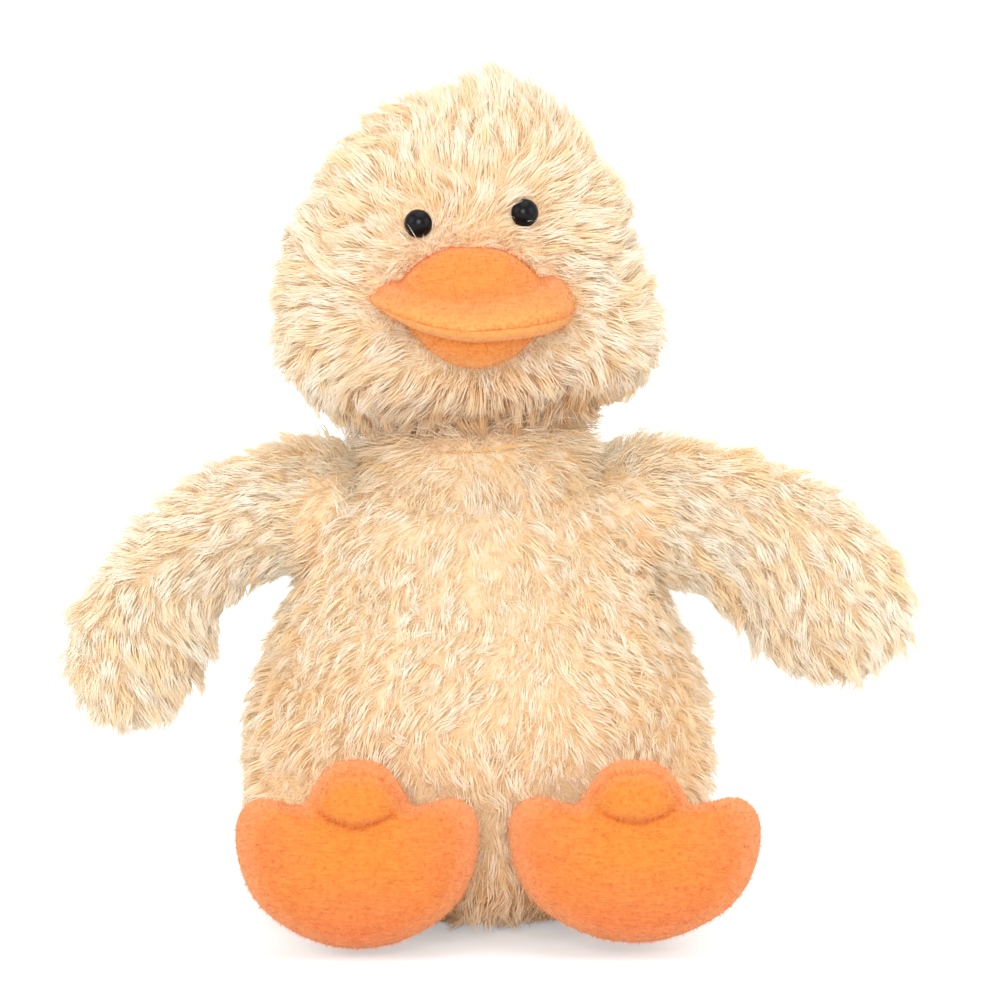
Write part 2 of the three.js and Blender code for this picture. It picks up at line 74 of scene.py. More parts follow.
# Studio: a wide white table top between large soft boxes in a pale room. The table and the room
# look white to the camera, and the duck's soft shadow stays on the table.
table_width = 12
table_white = 0.8
near_glow, far_glow = 0.38, 0.9
near_distance, far_distance = 0.3, 2.5
room_light = 0.57
# Each soft box's place in metres, the side of its square and its power in watts.
soft_boxes = {
    "front_box": ((-0.12, -2.2, 0.85), 1.0, 29),
    "left_box": ((-1.7, -0.9, 1.0), 1.4, 11),
    "right_box": ((1.8, -0.8, 0.8), 1.4, 10),
    "back_box": ((0.1, 2.3, 1.1), 1.2, 30),
    "top_box": ((0.1, -0.3, 1.9), 1.6, 12),
}


def add_node(tree, kind, settings=(), inputs=(), links=()):
    """Adds a shader node with its settings, its input values and the sockets that feed it."""
    node = tree.nodes.new("ShaderNode" + kind)
    for name, value in dict(settings).items():
        setattr(node, name, value)
    for name, value in dict(inputs).items():
        node.inputs[name].default_value = value
    for name, socket in dict(links).items():
        tree.links.new(socket, node.inputs[name])
    return node


def new_material(name):
    """An empty material and its node tree."""
    material = bpy.data.materials.new(name)
    material.use_nodes = True
    material.node_tree.nodes.clear()
    return material, material.node_tree


def seen_by_lens(tree):
    """1 for what the camera sees directly, in a reflection or through something clear, else 0."""
    path = add_node(tree, "LightPath")
    direct = add_node(
        tree,
        "Math",
        {"operation": "MAXIMUM"},
        links={0: path.outputs["Is Camera Ray"], 1: path.outputs["Is Glossy Ray"]},
    )
    return add_node(
        tree,
        "Math",
        {"operation": "MAXIMUM"},
        links={0: direct.outputs[0], 1: path.outputs["Is Transmission Ray"]},
    ).outputs[0]


# White table laminate: matt, so it shows the duck's soft shadow and no reflection of the boxes.
table_laminate, tree = new_material("white_table_laminate")
matt = add_node(tree, "BsdfDiffuse", inputs={"Color": (table_white,) * 3 + (1,)})
table_place = add_node(tree, "TexCoord")
way_off = add_node(
    tree, "VectorMath", {"operation": "LENGTH"}, links={0: table_place.outputs["Object"]}
)
glow_level = add_node(
    tree,
    "MapRange",
    inputs={
        "From Min": near_distance,
        "From Max": far_distance,
        "To Min": near_glow,
        "To Max": far_glow,
    },
    links={"Value": way_off.outputs["Value"]},
)
glow = add_node(tree, "Emission", links={"Strength": glow_level.outputs[0]})
lit = add_node(tree, "AddShader", links={0: matt.outputs[0], 1: glow.outputs[0]})
choice = add_node(
    tree,
    "MixShader",
    links={0: seen_by_lens(tree), 1: matt.outputs[0], 2: lit.outputs[0]},
)
add_node(tree, "OutputMaterial", links={"Surface": choice.outputs[0]})

form = bmesh.new()
bmesh.ops.create_grid(form, x_segments=1, y_segments=1, size=table_width / 2)
table_mesh = bpy.data.meshes.new("table_top")
form.to_mesh(table_mesh)
form.free()
table_mesh.materials.append(table_laminate)
table_top = bpy.data.objects.new("table_top", table_mesh)
bpy.context.scene.collection.objects.link(table_top)

room = bpy.data.worlds.new("pale_room")
room.use_nodes = True
tree = room.node_tree
tree.nodes.clear()
dim = add_node(tree, "Background", inputs={"Color": (1, 1, 1, 1), "Strength": room_light})
white = add_node(tree, "Background", inputs={"Color": (1, 1, 1, 1), "Strength": 1})
choice = add_node(
    tree,
    "MixShader",
    links={0: seen_by_lens(tree), 1: dim.outputs[0], 2: white.outputs[0]},
)
add_node(tree, "OutputWorld", links={"Surface": choice.outputs[0]})
bpy.context.scene.world = room
for name, (place, size, power) in soft_boxes.items():
    lamp = bpy.data.lights.new(name, "AREA")
    lamp.size = size
    lamp.energy = power
    holder = bpy.data.objects.new(name, lamp)
    holder.location = place
    holder.rotation_euler = (Vector(place) - camera_aim).to_track_quat("Z", "Y").to_euler()
    bpy.context.scene.collection.objects.link(holder)
bpy.context.scene.view_settings.view_transform = "Standard"

# Body: a pear of knitted cloth with a long cream pile, stuffed with fibre, cut so that its top
# carries the head and its shoulders carry the wings. The pile hangs down in small tufts.
mm = 0.001
joints = {joint["name"]: joint for joint in frame["joints"]}
neck_place, left_shoulder, right_shoulder, left_hip, right_hip = (
    Vector(joints[name]["pos_m"]) / mm
    for name in (
        "head_nod",
        "left_wing_lift",
        "right_wing_lift",
        "left_foot_swing",
        "right_foot_swing",
    )
)
pile_depth = 5
body_width = (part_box("body_cover")[1].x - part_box("body_cover")[0].x) / mm
body_depth = 114
body_height = 133.5
seat_pile = 2
body_shares = [
    (0, 0), (0.37, 0.0015), (0.63, 0.02), (0.82, 0.072), (0.94, 0.156), (1, 0.323),
    (0.983, 0.445), (0.892, 0.582), (0.784, 0.703), (0.698, 0.817), (0.633, 0.909),
    (0.532, 0.97), (0.32, 0.994), (0, 1),
]
neck_ball_radius = 32
neck_shares = [(0, 0), (1, 0.01), (1, 0.6), (0.95, 0.8), (0.78, 0.93), (0.4, 0.99), (0, 1)]
neck_width, neck_depth, neck_height, neck_bottom = 61, 60, 50, 96
shoulder_ball_radius = 21
cloth_voxel = 2.5
cloth_rounds = 6


def stuffed_form(shares, width, depth, height, bottom, sides=64):
    """A closed oval form round Z, spun from shares of its half width and height."""
    spun = bmesh.new()
    corners = [spun.verts.new((x * width / 2, 0, bottom + z * height)) for x, z in shares]
    edges = [spun.edges.new(pair) for pair in zip(corners, corners[1:])]
    bmesh.ops.spin(
        spun,
        geom=corners + edges,
        axis=(0, 0, 1),
        cent=(0, 0, 0),
        steps=sides,
        angle=2 * math.pi,
        use_merge=True,
    )
    bmesh.ops.remove_doubles(spun, verts=spun.verts, dist=0.01)
    bmesh.ops.scale(spun, vec=(1, depth / width, 1), verts=spun.verts)
    return spun


def oval_ball(size, centre, sides=48):
    """A closed oval ball of a full size in X, Y and Z."""
    made = bmesh.new()
    bmesh.ops.create_uvsphere(made, u_segments=sides, v_segments=sides // 2, radius=0.5)
    bmesh.ops.scale(made, vec=size, verts=made.verts)
    bmesh.ops.translate(made, vec=centre, verts=made.verts)
    return made


def faces_in_order(made):
    """Makes the faces again in a fixed order, because a ball's come in another one each run."""
    made.verts.index_update()
    rings = []
    for face in made.faces:
        ring = [corner.index for corner in face.verts]
        start = ring.index(min(ring))
        rings.append(ring[start:] + ring[:start])
    bmesh.ops.delete(made, geom=made.faces[:], context="FACES_ONLY")
    corners = made.verts[:]
    for ring in sorted(rings):
        made.faces.new([corners[index] for index in ring])


def object_from(name, made, place=Matrix.Identity(4), scale=1.0):
    """Makes a bmesh an object, turned into its place and scaled."""
    faces_in_order(made)
    bmesh.ops.recalc_face_normals(made, faces=made.faces)
    bmesh.ops.transform(made, matrix=Matrix.Scale(scale, 4) @ place, verts=made.verts)
    mesh = bpy.data.meshes.new(name)
    made.to_mesh(mesh)
    made.free()
    thing = bpy.data.objects.new(name, mesh)
    bpy.context.scene.collection.objects.link(thing)
    return thing


def settle(thing):
    """Applies all modifiers of an object to its mesh."""
    graph = bpy.context.evaluated_depsgraph_get()
    mesh = bpy.data.meshes.new_from_object(thing.evaluated_get(graph))
    thing.modifiers.clear()
    thing.data = mesh
    return thing


def one_skin(name, forms, voxel, rounds):
    """Fuses closed forms into one smooth closed skin, still in millimetres."""
    whole = bmesh.new()
    for part in forms:
        bmesh.ops.recalc_face_normals(part, faces=part.faces)
        kept = bpy.data.meshes.new("part")
        part.to_mesh(kept)
        part.free()
        whole.from_mesh(kept)
        bpy.data.meshes.remove(kept)
    mesh = bpy.data.meshes.new(name)
    whole.to_mesh(mesh)
    whole.free()
    thing = bpy.data.objects.new(name, mesh)
    bpy.context.scene.collection.objects.link(thing)
    fuse = thing.modifiers.new("fuse", "REMESH")
    fuse.mode = "VOXEL"
    fuse.voxel_size = voxel
    if rounds:
        ease = thing.modifiers.new("ease", "SMOOTH")
        ease.factor = 0.5
        ease.iterations = rounds
    return settle(thing)


def linear(colour):
    """An sRGB hex colour as linear numbers."""
    parts = np.array([int(colour[i : i + 2], 16) for i in (1, 3, 5)]) / 255
    return np.where(parts <= 0.04045, parts / 12.92, ((parts + 0.055) / 1.055) ** 2.4)


def unit(vectors):
    return vectors / np.maximum(np.linalg.norm(vectors, axis=-1, keepdims=True), 1e-9)


def ramp(values, low, high):
    """0 below low, 1 above high and smooth in between."""
    share = np.clip((values - low) / (high - low), 0, 1)
    return share * share * (3 - 2 * share)


def triangles_of(mesh):
    """A mesh's places, vertex normals and triangles as arrays."""
    mesh.calc_loop_triangles()
    places = np.empty(len(mesh.vertices) * 3, np.float32)
    normals = np.empty_like(places)
    corners = np.empty(len(mesh.loop_triangles) * 3, np.int32)
    mesh.vertices.foreach_get("co", places)
    mesh.vertex_normals.foreach_get("vector", normals)
    mesh.loop_triangles.foreach_get("vertices", corners)
    return places.reshape(-1, 3), normals.reshape(-1, 3), corners.reshape(-1, 3)


def scattered(mesh, count, rng):
    """Places on a mesh at random, evenly by area, with their normals."""
    places, normals, corners = triangles_of(mesh)
    a, b, c = places[corners].transpose(1, 0, 2)
    area = np.linalg.norm(np.cross(b - a, c - a), axis=1)
    chosen = rng.choice(len(corners), count, p=area / area.sum())
    along, across = np.sqrt(rng.random((2, count, 1)))
    across = across**2
    weights = np.concatenate([1 - along, along * (1 - across), along * across], axis=1)
    spots = np.einsum("nk,nkd->nd", weights, places[corners[chosen]])
    outward = unit(np.einsum("nk,nkd->nd", weights, normals[corners[chosen]]))
    return spots, outward


def spaced(spots, gap):
    """The indices of spots that keep about a gap from each other."""
    taken, kept = {}, []
    cells = np.floor(spots / gap).astype(int)
    for index, cell in enumerate(map(tuple, cells)):
        near = (
            taken.get((cell[0] + i, cell[1] + j, cell[2] + k))
            for i in (-1, 0, 1)
            for j in (-1, 0, 1)
            for k in (-1, 0, 1)
        )
        if all(n is None or np.linalg.norm(spots[n] - spots[index]) > gap for n in near):
            taken[cell] = index
            kept.append(index)
    return np.array(kept)


swirl_gap = 15
swirl_samples = 3000


def swirls(spots, gap, strength, rng):
    """A turn for each spot that changes slowly over the cloth, as in a brushed pile."""
    centres = spots[spaced(spots[rng.permutation(len(spots))[:swirl_samples]], gap)]
    turns = rng.normal(0, strength, len(centres))
    off = np.sum((spots[:, None] - centres[None]) ** 2, axis=2)
    weight = np.exp(-off / (0.5 * gap * gap))
    return weight @ turns / np.maximum(np.sqrt(np.sum(weight**2, axis=1)), 1e-6)


three_sides = (math.pi / 6, 5 * math.pi / 6, 3 * math.pi / 2)


def fibres(roots, middles, tips, outward, radius, rng):
    """Closed tapered fibres of seven points and ten triangles each, flat side out."""
    lower, upper = unit(middles - roots), unit(tips - middles)
    roll = rng.normal(0, 0.4, (len(roots), 1))
    rings = []
    for place, axis, share in ((roots, lower, 1), (middles, unit(lower + upper), 0.9)):
        across = unit(np.cross(outward, axis))
        face = np.cross(axis, across)
        across, face = (
            across * np.cos(roll) + face * np.sin(roll),
            face * np.cos(roll) - across * np.sin(roll),
        )
        for angle in three_sides:
            reach = across * math.cos(angle) + face * math.sin(angle)
            rings.append(place + reach * (radius * share)[:, None])
    places = np.stack(rings + [tips], axis=1)
    pattern = [(0, 2, 1)]
    for i, j in ((0, 1), (1, 2), (2, 0)):
        pattern += [(i, j, j + 3), (i, j + 3, i + 3), (i + 3, j + 3, 6)]
    start = 7 * np.arange(len(roots))[:, None, None]
    return places.reshape(-1, 3), (start + np.array(pattern)).reshape(-1, 3)


def spikes(roots, tips, outward, radius):
    """Closed straight hairs of four points and four triangles each."""
    axis = unit(tips - roots)
    across = unit(np.cross(outward, axis))
    face = np.cross(axis, across)
    rings = [
        roots + (across * math.cos(angle) + face * math.sin(angle)) * radius[:, None]
        for angle in three_sides
    ]
    start = 4 * np.arange(len(roots))[:, None, None]
    pattern = np.array([(0, 2, 1), (0, 1, 3), (1, 2, 3), (2, 0, 3)])
    return np.stack(rings + [tips], axis=1).reshape(-1, 3), (start + pattern).reshape(-1, 3)


def mesh_of(name, places, corners, smooth_count, layer_name, colours):
    """A coloured mesh of triangles, the first of them smooth and the hairs after them flat."""
    mesh = bpy.data.meshes.new(name)
    mesh.vertices.add(len(places))
    mesh.vertices.foreach_set("co", places.astype(np.float32).ravel())
    mesh.loops.add(corners.size)
    mesh.loops.foreach_set("vertex_index", corners.astype(np.int32).ravel())
    mesh.polygons.add(len(corners))
    mesh.polygons.foreach_set("loop_start", np.arange(0, corners.size, 3, dtype=np.int32))
    mesh.polygons.foreach_set("use_smooth", np.arange(len(corners)) < smooth_count)
    mesh.update(calc_edges=True)
    layer = mesh.color_attributes.new(layer_name, "FLOAT_COLOR", "POINT")
    layer.data.foreach_set(
        "color", np.column_stack([colours, np.ones(len(colours))]).astype(np.float32).ravel()
    )
    return mesh


def owners(spots, centres):
    """The number of the nearest centre for each spot."""
    tree = KDTree(len(centres))
    for number, centre in enumerate(centres):
        tree.insert(centre, number)
    tree.balance()
    return np.array([tree.find(spot)[1] for spot in spots])


def long_pile(skin, look, flow, tint, clear, rng):
    """The tufted fibres of a pile: places, triangles and colours."""
    spots, outward = scattered(skin.data, look["count"], rng)
    tufts = spaced(spots, look["tuft_gap"])
    owner = owners(spots, spots[tufts])
    # Which way each fibre lies: along the flow, turned by tuft, by fibre and by swirl.
    ruffled = look["ruffled"](spots) if "ruffled" in look else np.zeros(len(spots))
    swing = rng.normal(0, look["swing"], len(tufts))[owner] + rng.normal(0, 0.12, len(spots))
    swing = swing + rng.uniform(-1.6, 1.6, len(spots)) * ruffled
    swing = swing + swirls(spots, swirl_gap, look["swirl"], rng)
    along = flow(spots, outward)
    along = unit(along - outward * np.sum(along * outward, axis=1, keepdims=True))
    across = np.cross(outward, along)
    along = along * np.cos(swing)[:, None] + across * np.sin(swing)[:, None]
    # How far it leans and how long it is, with some short undercoat and some long strays.
    lean = look["lean"] + rng.normal(0, look["lean_spread"], len(tufts))[owner]
    lean = np.clip(lean + rng.normal(0, 0.06, len(spots)), 0.15, 1.35) * (1 - 0.35 * ruffled)
    long = look["length"] * (1 + look["uneven"] * rng.uniform(-1, 1, len(tufts)))[owner]
    if "longer" in look:
        long = long * look["longer"](spots)
    long = long * rng.uniform(0.82, 1.08, len(spots))
    under = rng.random(len(spots)) < look["undercoat"]
    long = np.where(under, long * 0.6, long)
    lean = np.where(under, lean * 0.7, lean)
    stray = rng.random(len(spots)) < look["strays"]
    long = np.where(stray, long * rng.uniform(1.0, 1.25, len(spots)), long)
    # Its lower half stands up more than its upper half, and its tip is drawn to the tuft's tip.
    rise, run = np.cos(lean)[:, None], np.sin(lean)[:, None]
    half = (long * 0.5)[:, None]
    middles = spots + unit(outward * (rise + 0.45) + along * run) * half
    tips = middles + unit(outward * (rise - 0.12) + along * run) * half
    centre = tufts[owner]
    gather = np.where(stray | under, 0.1, look["gather"] * rng.uniform(0.75, 1.1, len(spots)))
    gather = gather[:, None]
    middles = middles + (middles[centre] - middles) * gather * 0.65
    tips = tips + (tips[centre] - tips) * gather
    tips = tips + rng.normal(0, look["frizz"], tips.shape)
    roots = spots - outward * 0.8
    radius = look["radius"] * rng.uniform(0.75, 1.2, len(spots))
    keep = np.ones(len(spots), bool)
    if clear is not None:
        keep = ~clear(spots, middles, tips, rng)
    root_colour, tip_colour = tint(spots, rng.random(len(tufts))[owner])
    root_colour, tip_colour = root_colour[keep][:, None], tip_colour[keep][:, None]
    kept = (values[keep] for values in (roots, middles, tips, outward, radius))
    places, corners = fibres(*kept, rng)
    colours = np.empty((keep.sum(), 7, 3))
    colours[:, :3] = root_colour
    colours[:, 3:6] = root_colour * 0.35 + tip_colour * 0.65
    colours[:, 6:] = tip_colour
    return places, corners, colours.reshape(-1, 3)


def short_pile(skin, look, tint, clear, rng):
    """Short straight hairs every way between the fibres: places, triangles and colours."""
    spots, outward = scattered(skin.data, look["short_hairs"], rng)
    side = unit(np.cross(outward, rng.normal(0, 1, spots.shape)))
    lean = rng.uniform(0.7, 1.25, len(spots))[:, None]
    hair = unit(outward * np.cos(lean) + side * np.sin(lean))
    hair = hair * (look["length"] * rng.uniform(0.35, 0.6, len(spots)))[:, None]
    keep = np.ones(len(spots), bool)
    if clear is not None:
        keep = ~clear(spots, spots + hair * 0.5, spots + hair, rng)
    root_colour, tip_colour = tint(spots, rng.random(len(spots)))
    root_colour, tip_colour = root_colour[keep][:, None], tip_colour[keep][:, None]
    roots, tips = (spots - outward * 0.5)[keep], (spots + hair)[keep]
    places, corners = spikes(roots, tips, outward[keep], rng.uniform(0.16, 0.24, keep.sum()))
    colours = np.empty((keep.sum(), 4, 3))
    colours[:, :3] = root_colour * 0.8 + tip_colour * 0.2
    colours[:, 3:] = root_colour * 0.25 + tip_colour * 0.75
    return places, corners, colours.reshape(-1, 3)


def pile_cloth(name, skin, look, flow, tint, place=Matrix.Identity(4), clear=None, seed=1):
    """Grows a tufted pile on a skin and returns skin and pile as one coloured object in metres.

    look holds the count of fibres and of short hairs, their length and radius, the gap between
    tufts, how far the fibres swing, swirl, lean and gather, how uneven they are, and the shares of
    strays and undercoat. flow gives the way the pile lies, tint gives the colours of root and tip,
    and clear says which fibres to leave out.
    """
    rng = np.random.default_rng(seed)
    places, corners, colours = long_pile(skin, look, flow, tint, clear, rng)
    skin_places, _, skin_corners = triangles_of(skin.data)
    skin_root, skin_tip = tint(skin_places, rng.random(len(skin_places)))
    # Painted shade: the skin between the fibres is coloured darker than the pile, as if in its
    # shade.
    skin_colour_painted_shade = skin_root * 0.6 + skin_tip * rng.uniform(0.22, 0.38, (len(skin_places), 1))
    hair_places, hair_corners, hair_colours = short_pile(skin, look, tint, clear, rng)
    hair_corners = hair_corners + len(skin_places) + len(places)
    corners = np.concatenate([skin_corners, corners + len(skin_places), hair_corners])
    places = np.concatenate([skin_places, places, hair_places])
    colours = np.concatenate([skin_colour_painted_shade, colours, hair_colours])
    turn = np.array(place)
    places = (places @ turn[:3, :3].T + turn[:3, 3]) * mm
    mesh = mesh_of(name, places, corners, len(skin_corners), "pile_colour", colours)
    bpy.data.objects.remove(skin)
    mesh.materials.append(acrylic_pile)
    thing = bpy.data.objects.new(name, mesh)
    bpy.context.scene.collection.objects.link(thing)
    return thing


# Acrylic plush pile: fine crimped fibres, matt, cream at the tips and golden at the roots, the gold
# being painted shade for the warm gaps between the tufts. The modelled fibres are about five times
# as thick as real ones, so that there can be fewer of them.
acrylic_pile, tree = new_material("acrylic_plush_pile")
dye = add_node(tree, "VertexColor", {"layer_name": "pile_colour"})
surface = add_node(
    tree,
    "BsdfPrincipled",
    inputs={"Roughness": 1, "Specular IOR Level": 0},
    links={"Base Color": dye.outputs["Color"]},
)
add_node(tree, "OutputMaterial", links={"Surface": surface.outputs[0]})

# Painted shade: the roots' gold stands for the warm shade between the tufts.
root_gold_painted_shade = linear("#ffd79c")
tip_cream = linear("#fefaee")
tip_straw = linear("#ffe8c2")
belly_peach = linear("#ffddb4")
# Painted shade in the creases: the share of red, green and blue it takes away, and the place and
# size of the painted shade under each wing.
painted_shade_darkening = np.array([0.06, 0.24, 0.42])
armpit_place = (47, 108)
armpit_size = (5, 15)


def body_tint(spots, tone):
    """Cream at the shoulders and peach low on the belly, with golden painted shade in the creases.
    """
    low = ramp(-spots[:, 2], -95, -25)[:, None]
    # Painted shade under the wings, round the neck and at the seat between the feet.
    armpit = np.hypot(
        (np.abs(spots[:, 0]) - armpit_place[0]) / armpit_size[0],
        (spots[:, 2] - armpit_place[1]) / armpit_size[1],
    )
    armpit = 0.65 * (1 - ramp(armpit, 0.3, 1.1)) * (spots[:, 1] < 0)
    neck = 0.45 * ramp(spots[:, 2], 134, 143)
    seat = 0.7 * ramp(-spots[:, 2], -34, -10) * ramp(-np.abs(spots[:, 0]), -40, -20)
    painted_crease_shade = np.maximum(np.maximum(armpit, neck), seat)[:, None]
    tip = tip_cream + (tip_straw - tip_cream) * tone[:, None] ** 1.5
    tip = tip + (belly_peach - tip) * low * 0.4
    root = root_gold_painted_shade * (0.7 + 0.15 * low) + tip * (0.3 - 0.15 * low)
    return root * (1 - painted_crease_shade * painted_shade_darkening), tip * (1 - painted_crease_shade * painted_shade_darkening * 0.6)


def body_flow(spots, outward):
    """Down, fanning out from the middle, and out along the shoulders."""
    side = spots[:, 0] / 60
    along = np.stack([0.5 * side, np.zeros(len(spots)), -np.ones(len(spots))], axis=1)
    shoulder = (ramp(np.abs(spots[:, 0]), 28, 50) * ramp(spots[:, 2], 92, 112))[:, None]
    out = np.stack([np.sign(side), np.zeros(len(spots)), -0.35 * np.ones(len(spots))], axis=1)
    return along * (1 - shoulder) + out * shoulder


forms = [
    stuffed_form(
        body_shares,
        body_width - 2 * pile_depth,
        body_depth - 2 * pile_depth,
        body_height - pile_depth,
        seat_pile,
    ),
    oval_ball((2 * neck_ball_radius - pile_depth,) * 3, neck_place),
    stuffed_form(neck_shares, neck_width, neck_depth, neck_height, neck_bottom),
]
for shoulder in (left_shoulder, right_shoulder):
    forms.append(oval_ball((2 * (shoulder_ball_radius - pile_depth),) * 3, shoulder))
body_skin = one_skin("body_skin", forms, cloth_voxel, cloth_rounds)


def at_the_neck(spots):
    """0 on the body and 1 on the neck."""
    return ramp(spots[:, 2], 122, 134)


def body_longer(spots):
    """Longer pile round the neck, and pile worn short where the feet rub on the belly."""
    rubbed = np.zeros(len(spots))
    for hip in (left_hip, right_hip):
        across = ramp(-np.abs(spots[:, 0] - hip.x), -31, -23)
        rubbed = np.maximum(rubbed, across * ramp(-spots[:, 2], -54, -44) * (spots[:, 1] < -20))
    return (1 + 0.35 * at_the_neck(spots)) * (1 - 0.68 * rubbed)


body_look = {
    "count": 55000,
    "short_hairs": 42000,
    "length": 8.8,
    "radius": 0.14,
    "tuft_gap": 3.2,
    "swing": 0.36,
    "swirl": 0.38,
    "lean": 1.08,
    "lean_spread": 0.2,
    "uneven": 0.22,
    "strays": 0.07,
    "undercoat": 0.1,
    "gather": 0.44,
    "frizz": 0.45,
    "longer": body_longer,
    "ruffled": lambda spots: 0.7 * at_the_neck(spots),
}
plain_look = {key: value for key, value in body_look.items() if key not in ("longer", "ruffled")}
seat_clearance = 0.15


def under_seat(spots, middles, tips, rng):
    """Fibres that would poke through the table are pressed flat, so they are left out."""
    return np.minimum(middles[:, 2], tips[:, 2]) < seat_clearance


body = pile_cloth("body_fur", body_skin, body_look, body_flow, body_tint, clear=under_seat, seed=11)
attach(body, "root")
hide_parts("body_cover", "body_stuffing", "pellet_bag")

# Tail: a short cone of the same cloth, stuffed with fibre and sewn low on the back. Its pile is a
# little longer than the body's and lies towards the tip.
tail_length = 26
tail_width = 36
tail_embed = 18
tail_tilt = math.radians(32)
tail_shares = [(0, 0), (0.8, 0.001), (0.98, 0.3), (0.9, 0.62), (0.55, 0.9), (0, 1)]
tail_root = Vector((0, 54, 38))
tail_voxel = 1.5
tail_rounds = 3
tail_turn = Matrix.Translation(tail_root) @ Matrix.Rotation(tail_tilt - math.pi / 2, 4, "X")
tail_skin = one_skin(
    "tail_skin",
    [
        stuffed_form(
            tail_shares,
            tail_width - 2 * pile_depth,
            tail_width - 2 * pile_depth,
            tail_length + tail_embed - pile_depth,
            -tail_embed,
        )
    ],
    tail_voxel,
    tail_rounds,
)
tail_look = dict(plain_look, count=3800, short_hairs=2000, length=12, lean=0.95)
tail = pile_cloth(
    "tail_fur",
    tail_skin,
    tail_look,
    lambda spots, outward: np.tile([0, 0, 1.0], (len(spots), 1)),
    lambda spots, tone: body_tint(spots + np.array([0, 0, 70]), tone),
    place=tail_turn,
    seed=12,
)
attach(tail, "root")
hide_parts("tail_cover", "tail_stuffing")

# Bill: a broad brim with a dome on it, of short orange velour. The top panel is seamed to its
# rolled lining along the brim's edge, and a rounded lower bill is sewn in under the lining.

# Orange velour: a short brushed nap, matt and a little paler seen edge on, with level streaks in it
# and a darker, frayed line where two panels are sewn together, partly thread and partly painted
# shade of the groove between them.
mottle_size = 1.3
streak_size = (5, 0.8, 0.6)
fray_size = 0.9
nap_relief = 0.5
# The seam line's colour: partly the thread and partly painted shade of the groove.
seam_thread_and_painted_groove_shade = linear("#d96c2c")
velour, tree = new_material("orange_velour")
dye = add_node(tree, "VertexColor", {"layer_name": "velour_dye"})
nap_place = add_node(tree, "TexCoord")
mottle = add_node(
    tree,
    "TexNoise",
    inputs={"Scale": 1 / (mottle_size * mm), "Detail": 3},
    links={"Vector": nap_place.outputs["Object"]},
)
drawn_out = add_node(
    tree,
    "Mapping",
    inputs={"Scale": tuple(1 / (size * mm) for size in streak_size)},
    links={"Vector": nap_place.outputs["Object"]},
)
streak = add_node(
    tree, "TexNoise", inputs={"Scale": 1, "Detail": 2}, links={"Vector": drawn_out.outputs[0]}
)
nap = add_node(
    tree, "Math", {"operation": "ADD"}, links={0: mottle.outputs[0], 1: streak.outputs[0]}
)
light_and_dark = add_node(
    tree,
    "MapRange",
    inputs={"From Min": 0.65, "From Max": 1.35, "To Min": 0.86, "To Max": 1.11},
    links={"Value": nap.outputs[0]},
)
shaded = add_node(
    tree,
    "VectorMath",
    {"operation": "SCALE"},
    links={"Vector": dye.outputs["Color"], "Scale": light_and_dark.outputs[0]},
)
seam_gap = add_node(tree, "Attribute", {"attribute_name": "seam_gap"})
ragged = add_node(
    tree,
    "TexNoise",
    inputs={"Scale": 1 / (fray_size * mm), "Detail": 1},
    links={"Vector": nap_place.outputs["Object"]},
)
frayed_gap = add_node(
    tree,
    "Math",
    {"operation": "MULTIPLY_ADD"},
    inputs={1: 1.6},
    links={0: ragged.outputs[0], 2: seam_gap.outputs["Fac"]},
)
off_seam = add_node(
    tree,
    "MapRange",
    inputs={"From Min": 1.0, "From Max": 1.9, "To Min": 0, "To Max": 1},
    links={"Value": frayed_gap.outputs[0]},
)
dyed = add_node(
    tree,
    "Mix",
    {"data_type": "RGBA"},
    inputs={6: (*seam_thread_and_painted_groove_shade, 1)},
    links={0: off_seam.outputs[0], 7: shaded.outputs[0]},
)
pressed = add_node(
    tree,
    "Bump",
    inputs={"Strength": 0.8, "Distance": nap_relief * mm},
    links={"Height": nap.outputs[0]},
)
surface = add_node(
    tree,
    "BsdfPrincipled",
    inputs={
        "Roughness": 0.9,
        "Specular IOR Level": 0.2,
        "Sheen Weight": 0.4,
        "Sheen Roughness": 0.5,
        "Sheen Tint": (*linear("#ffd9b0"), 1),
    },
    links={"Base Color": dyed.outputs[2], "Normal": pressed.outputs[0]},
)
add_node(tree, "OutputMaterial", links={"Surface": surface.outputs[0]})

# Velour colours: orange_mid is the dye. The others are painted light and shade: paler for the nap's
# sheen along rims and edges and where a face turns from the lamps, and darker low on the feet and
# in folds, creases and the mouth.
orange_mid = linear("#e3893a")
orange_painted_low_shade = linear("#e17f4e")
pale_orange_painted_light = linear("#e48f50")
palest_orange_painted_light = linear("#e69f59")
orange_painted_shade = linear("#d06a2c")
salmon_painted_sheen = linear("#e99a66")


def blended(first, second, share):
    return first + (second - first) * min(1, max(0, share))


def crowned_form(rim, middle, height, look, rings=28):
    """A closed form drawn out to a rim, a list of places round its middle, in its middle plane.

    height gives the distance from that plane for a place, its share of the way to the rim and a
    side, and look the colour of the cloth there and its distance from the nearest seam.
    """
    form = bmesh.new()
    bmesh.ops.create_uvsphere(form, u_segments=len(rim), v_segments=2 * rings, radius=1)
    dye_layer = form.verts.layers.float_color.new("velour_dye")
    seam_layer = form.verts.layers.float.new("seam_gap")
    for vertex in form.verts:
        x, y, z = vertex.co
        share = min(1, math.hypot(x, y))
        place = round(math.atan2(y, x) / (2 * math.pi) * len(rim)) % len(rim)
        spot = middle + (rim[place] - middle) * share
        side = 1 if z > 0 else -1
        colour, gap = look(spot, share, side)
        vertex.co = (*spot, float(height(spot, share, side)))
        vertex[dye_layer] = (*colour, 1)
        vertex[seam_layer] = gap
    return form


# The nap's hairs are drawn longer and thicker than real ones, so that they show.
nap_length = 1.5
nap_radius = 0.11
nap_root = 0.1
# Painted light: the hairs' tips are coloured paler, to lift the shade between the hairs.
nap_tip_painted_light = 1.2


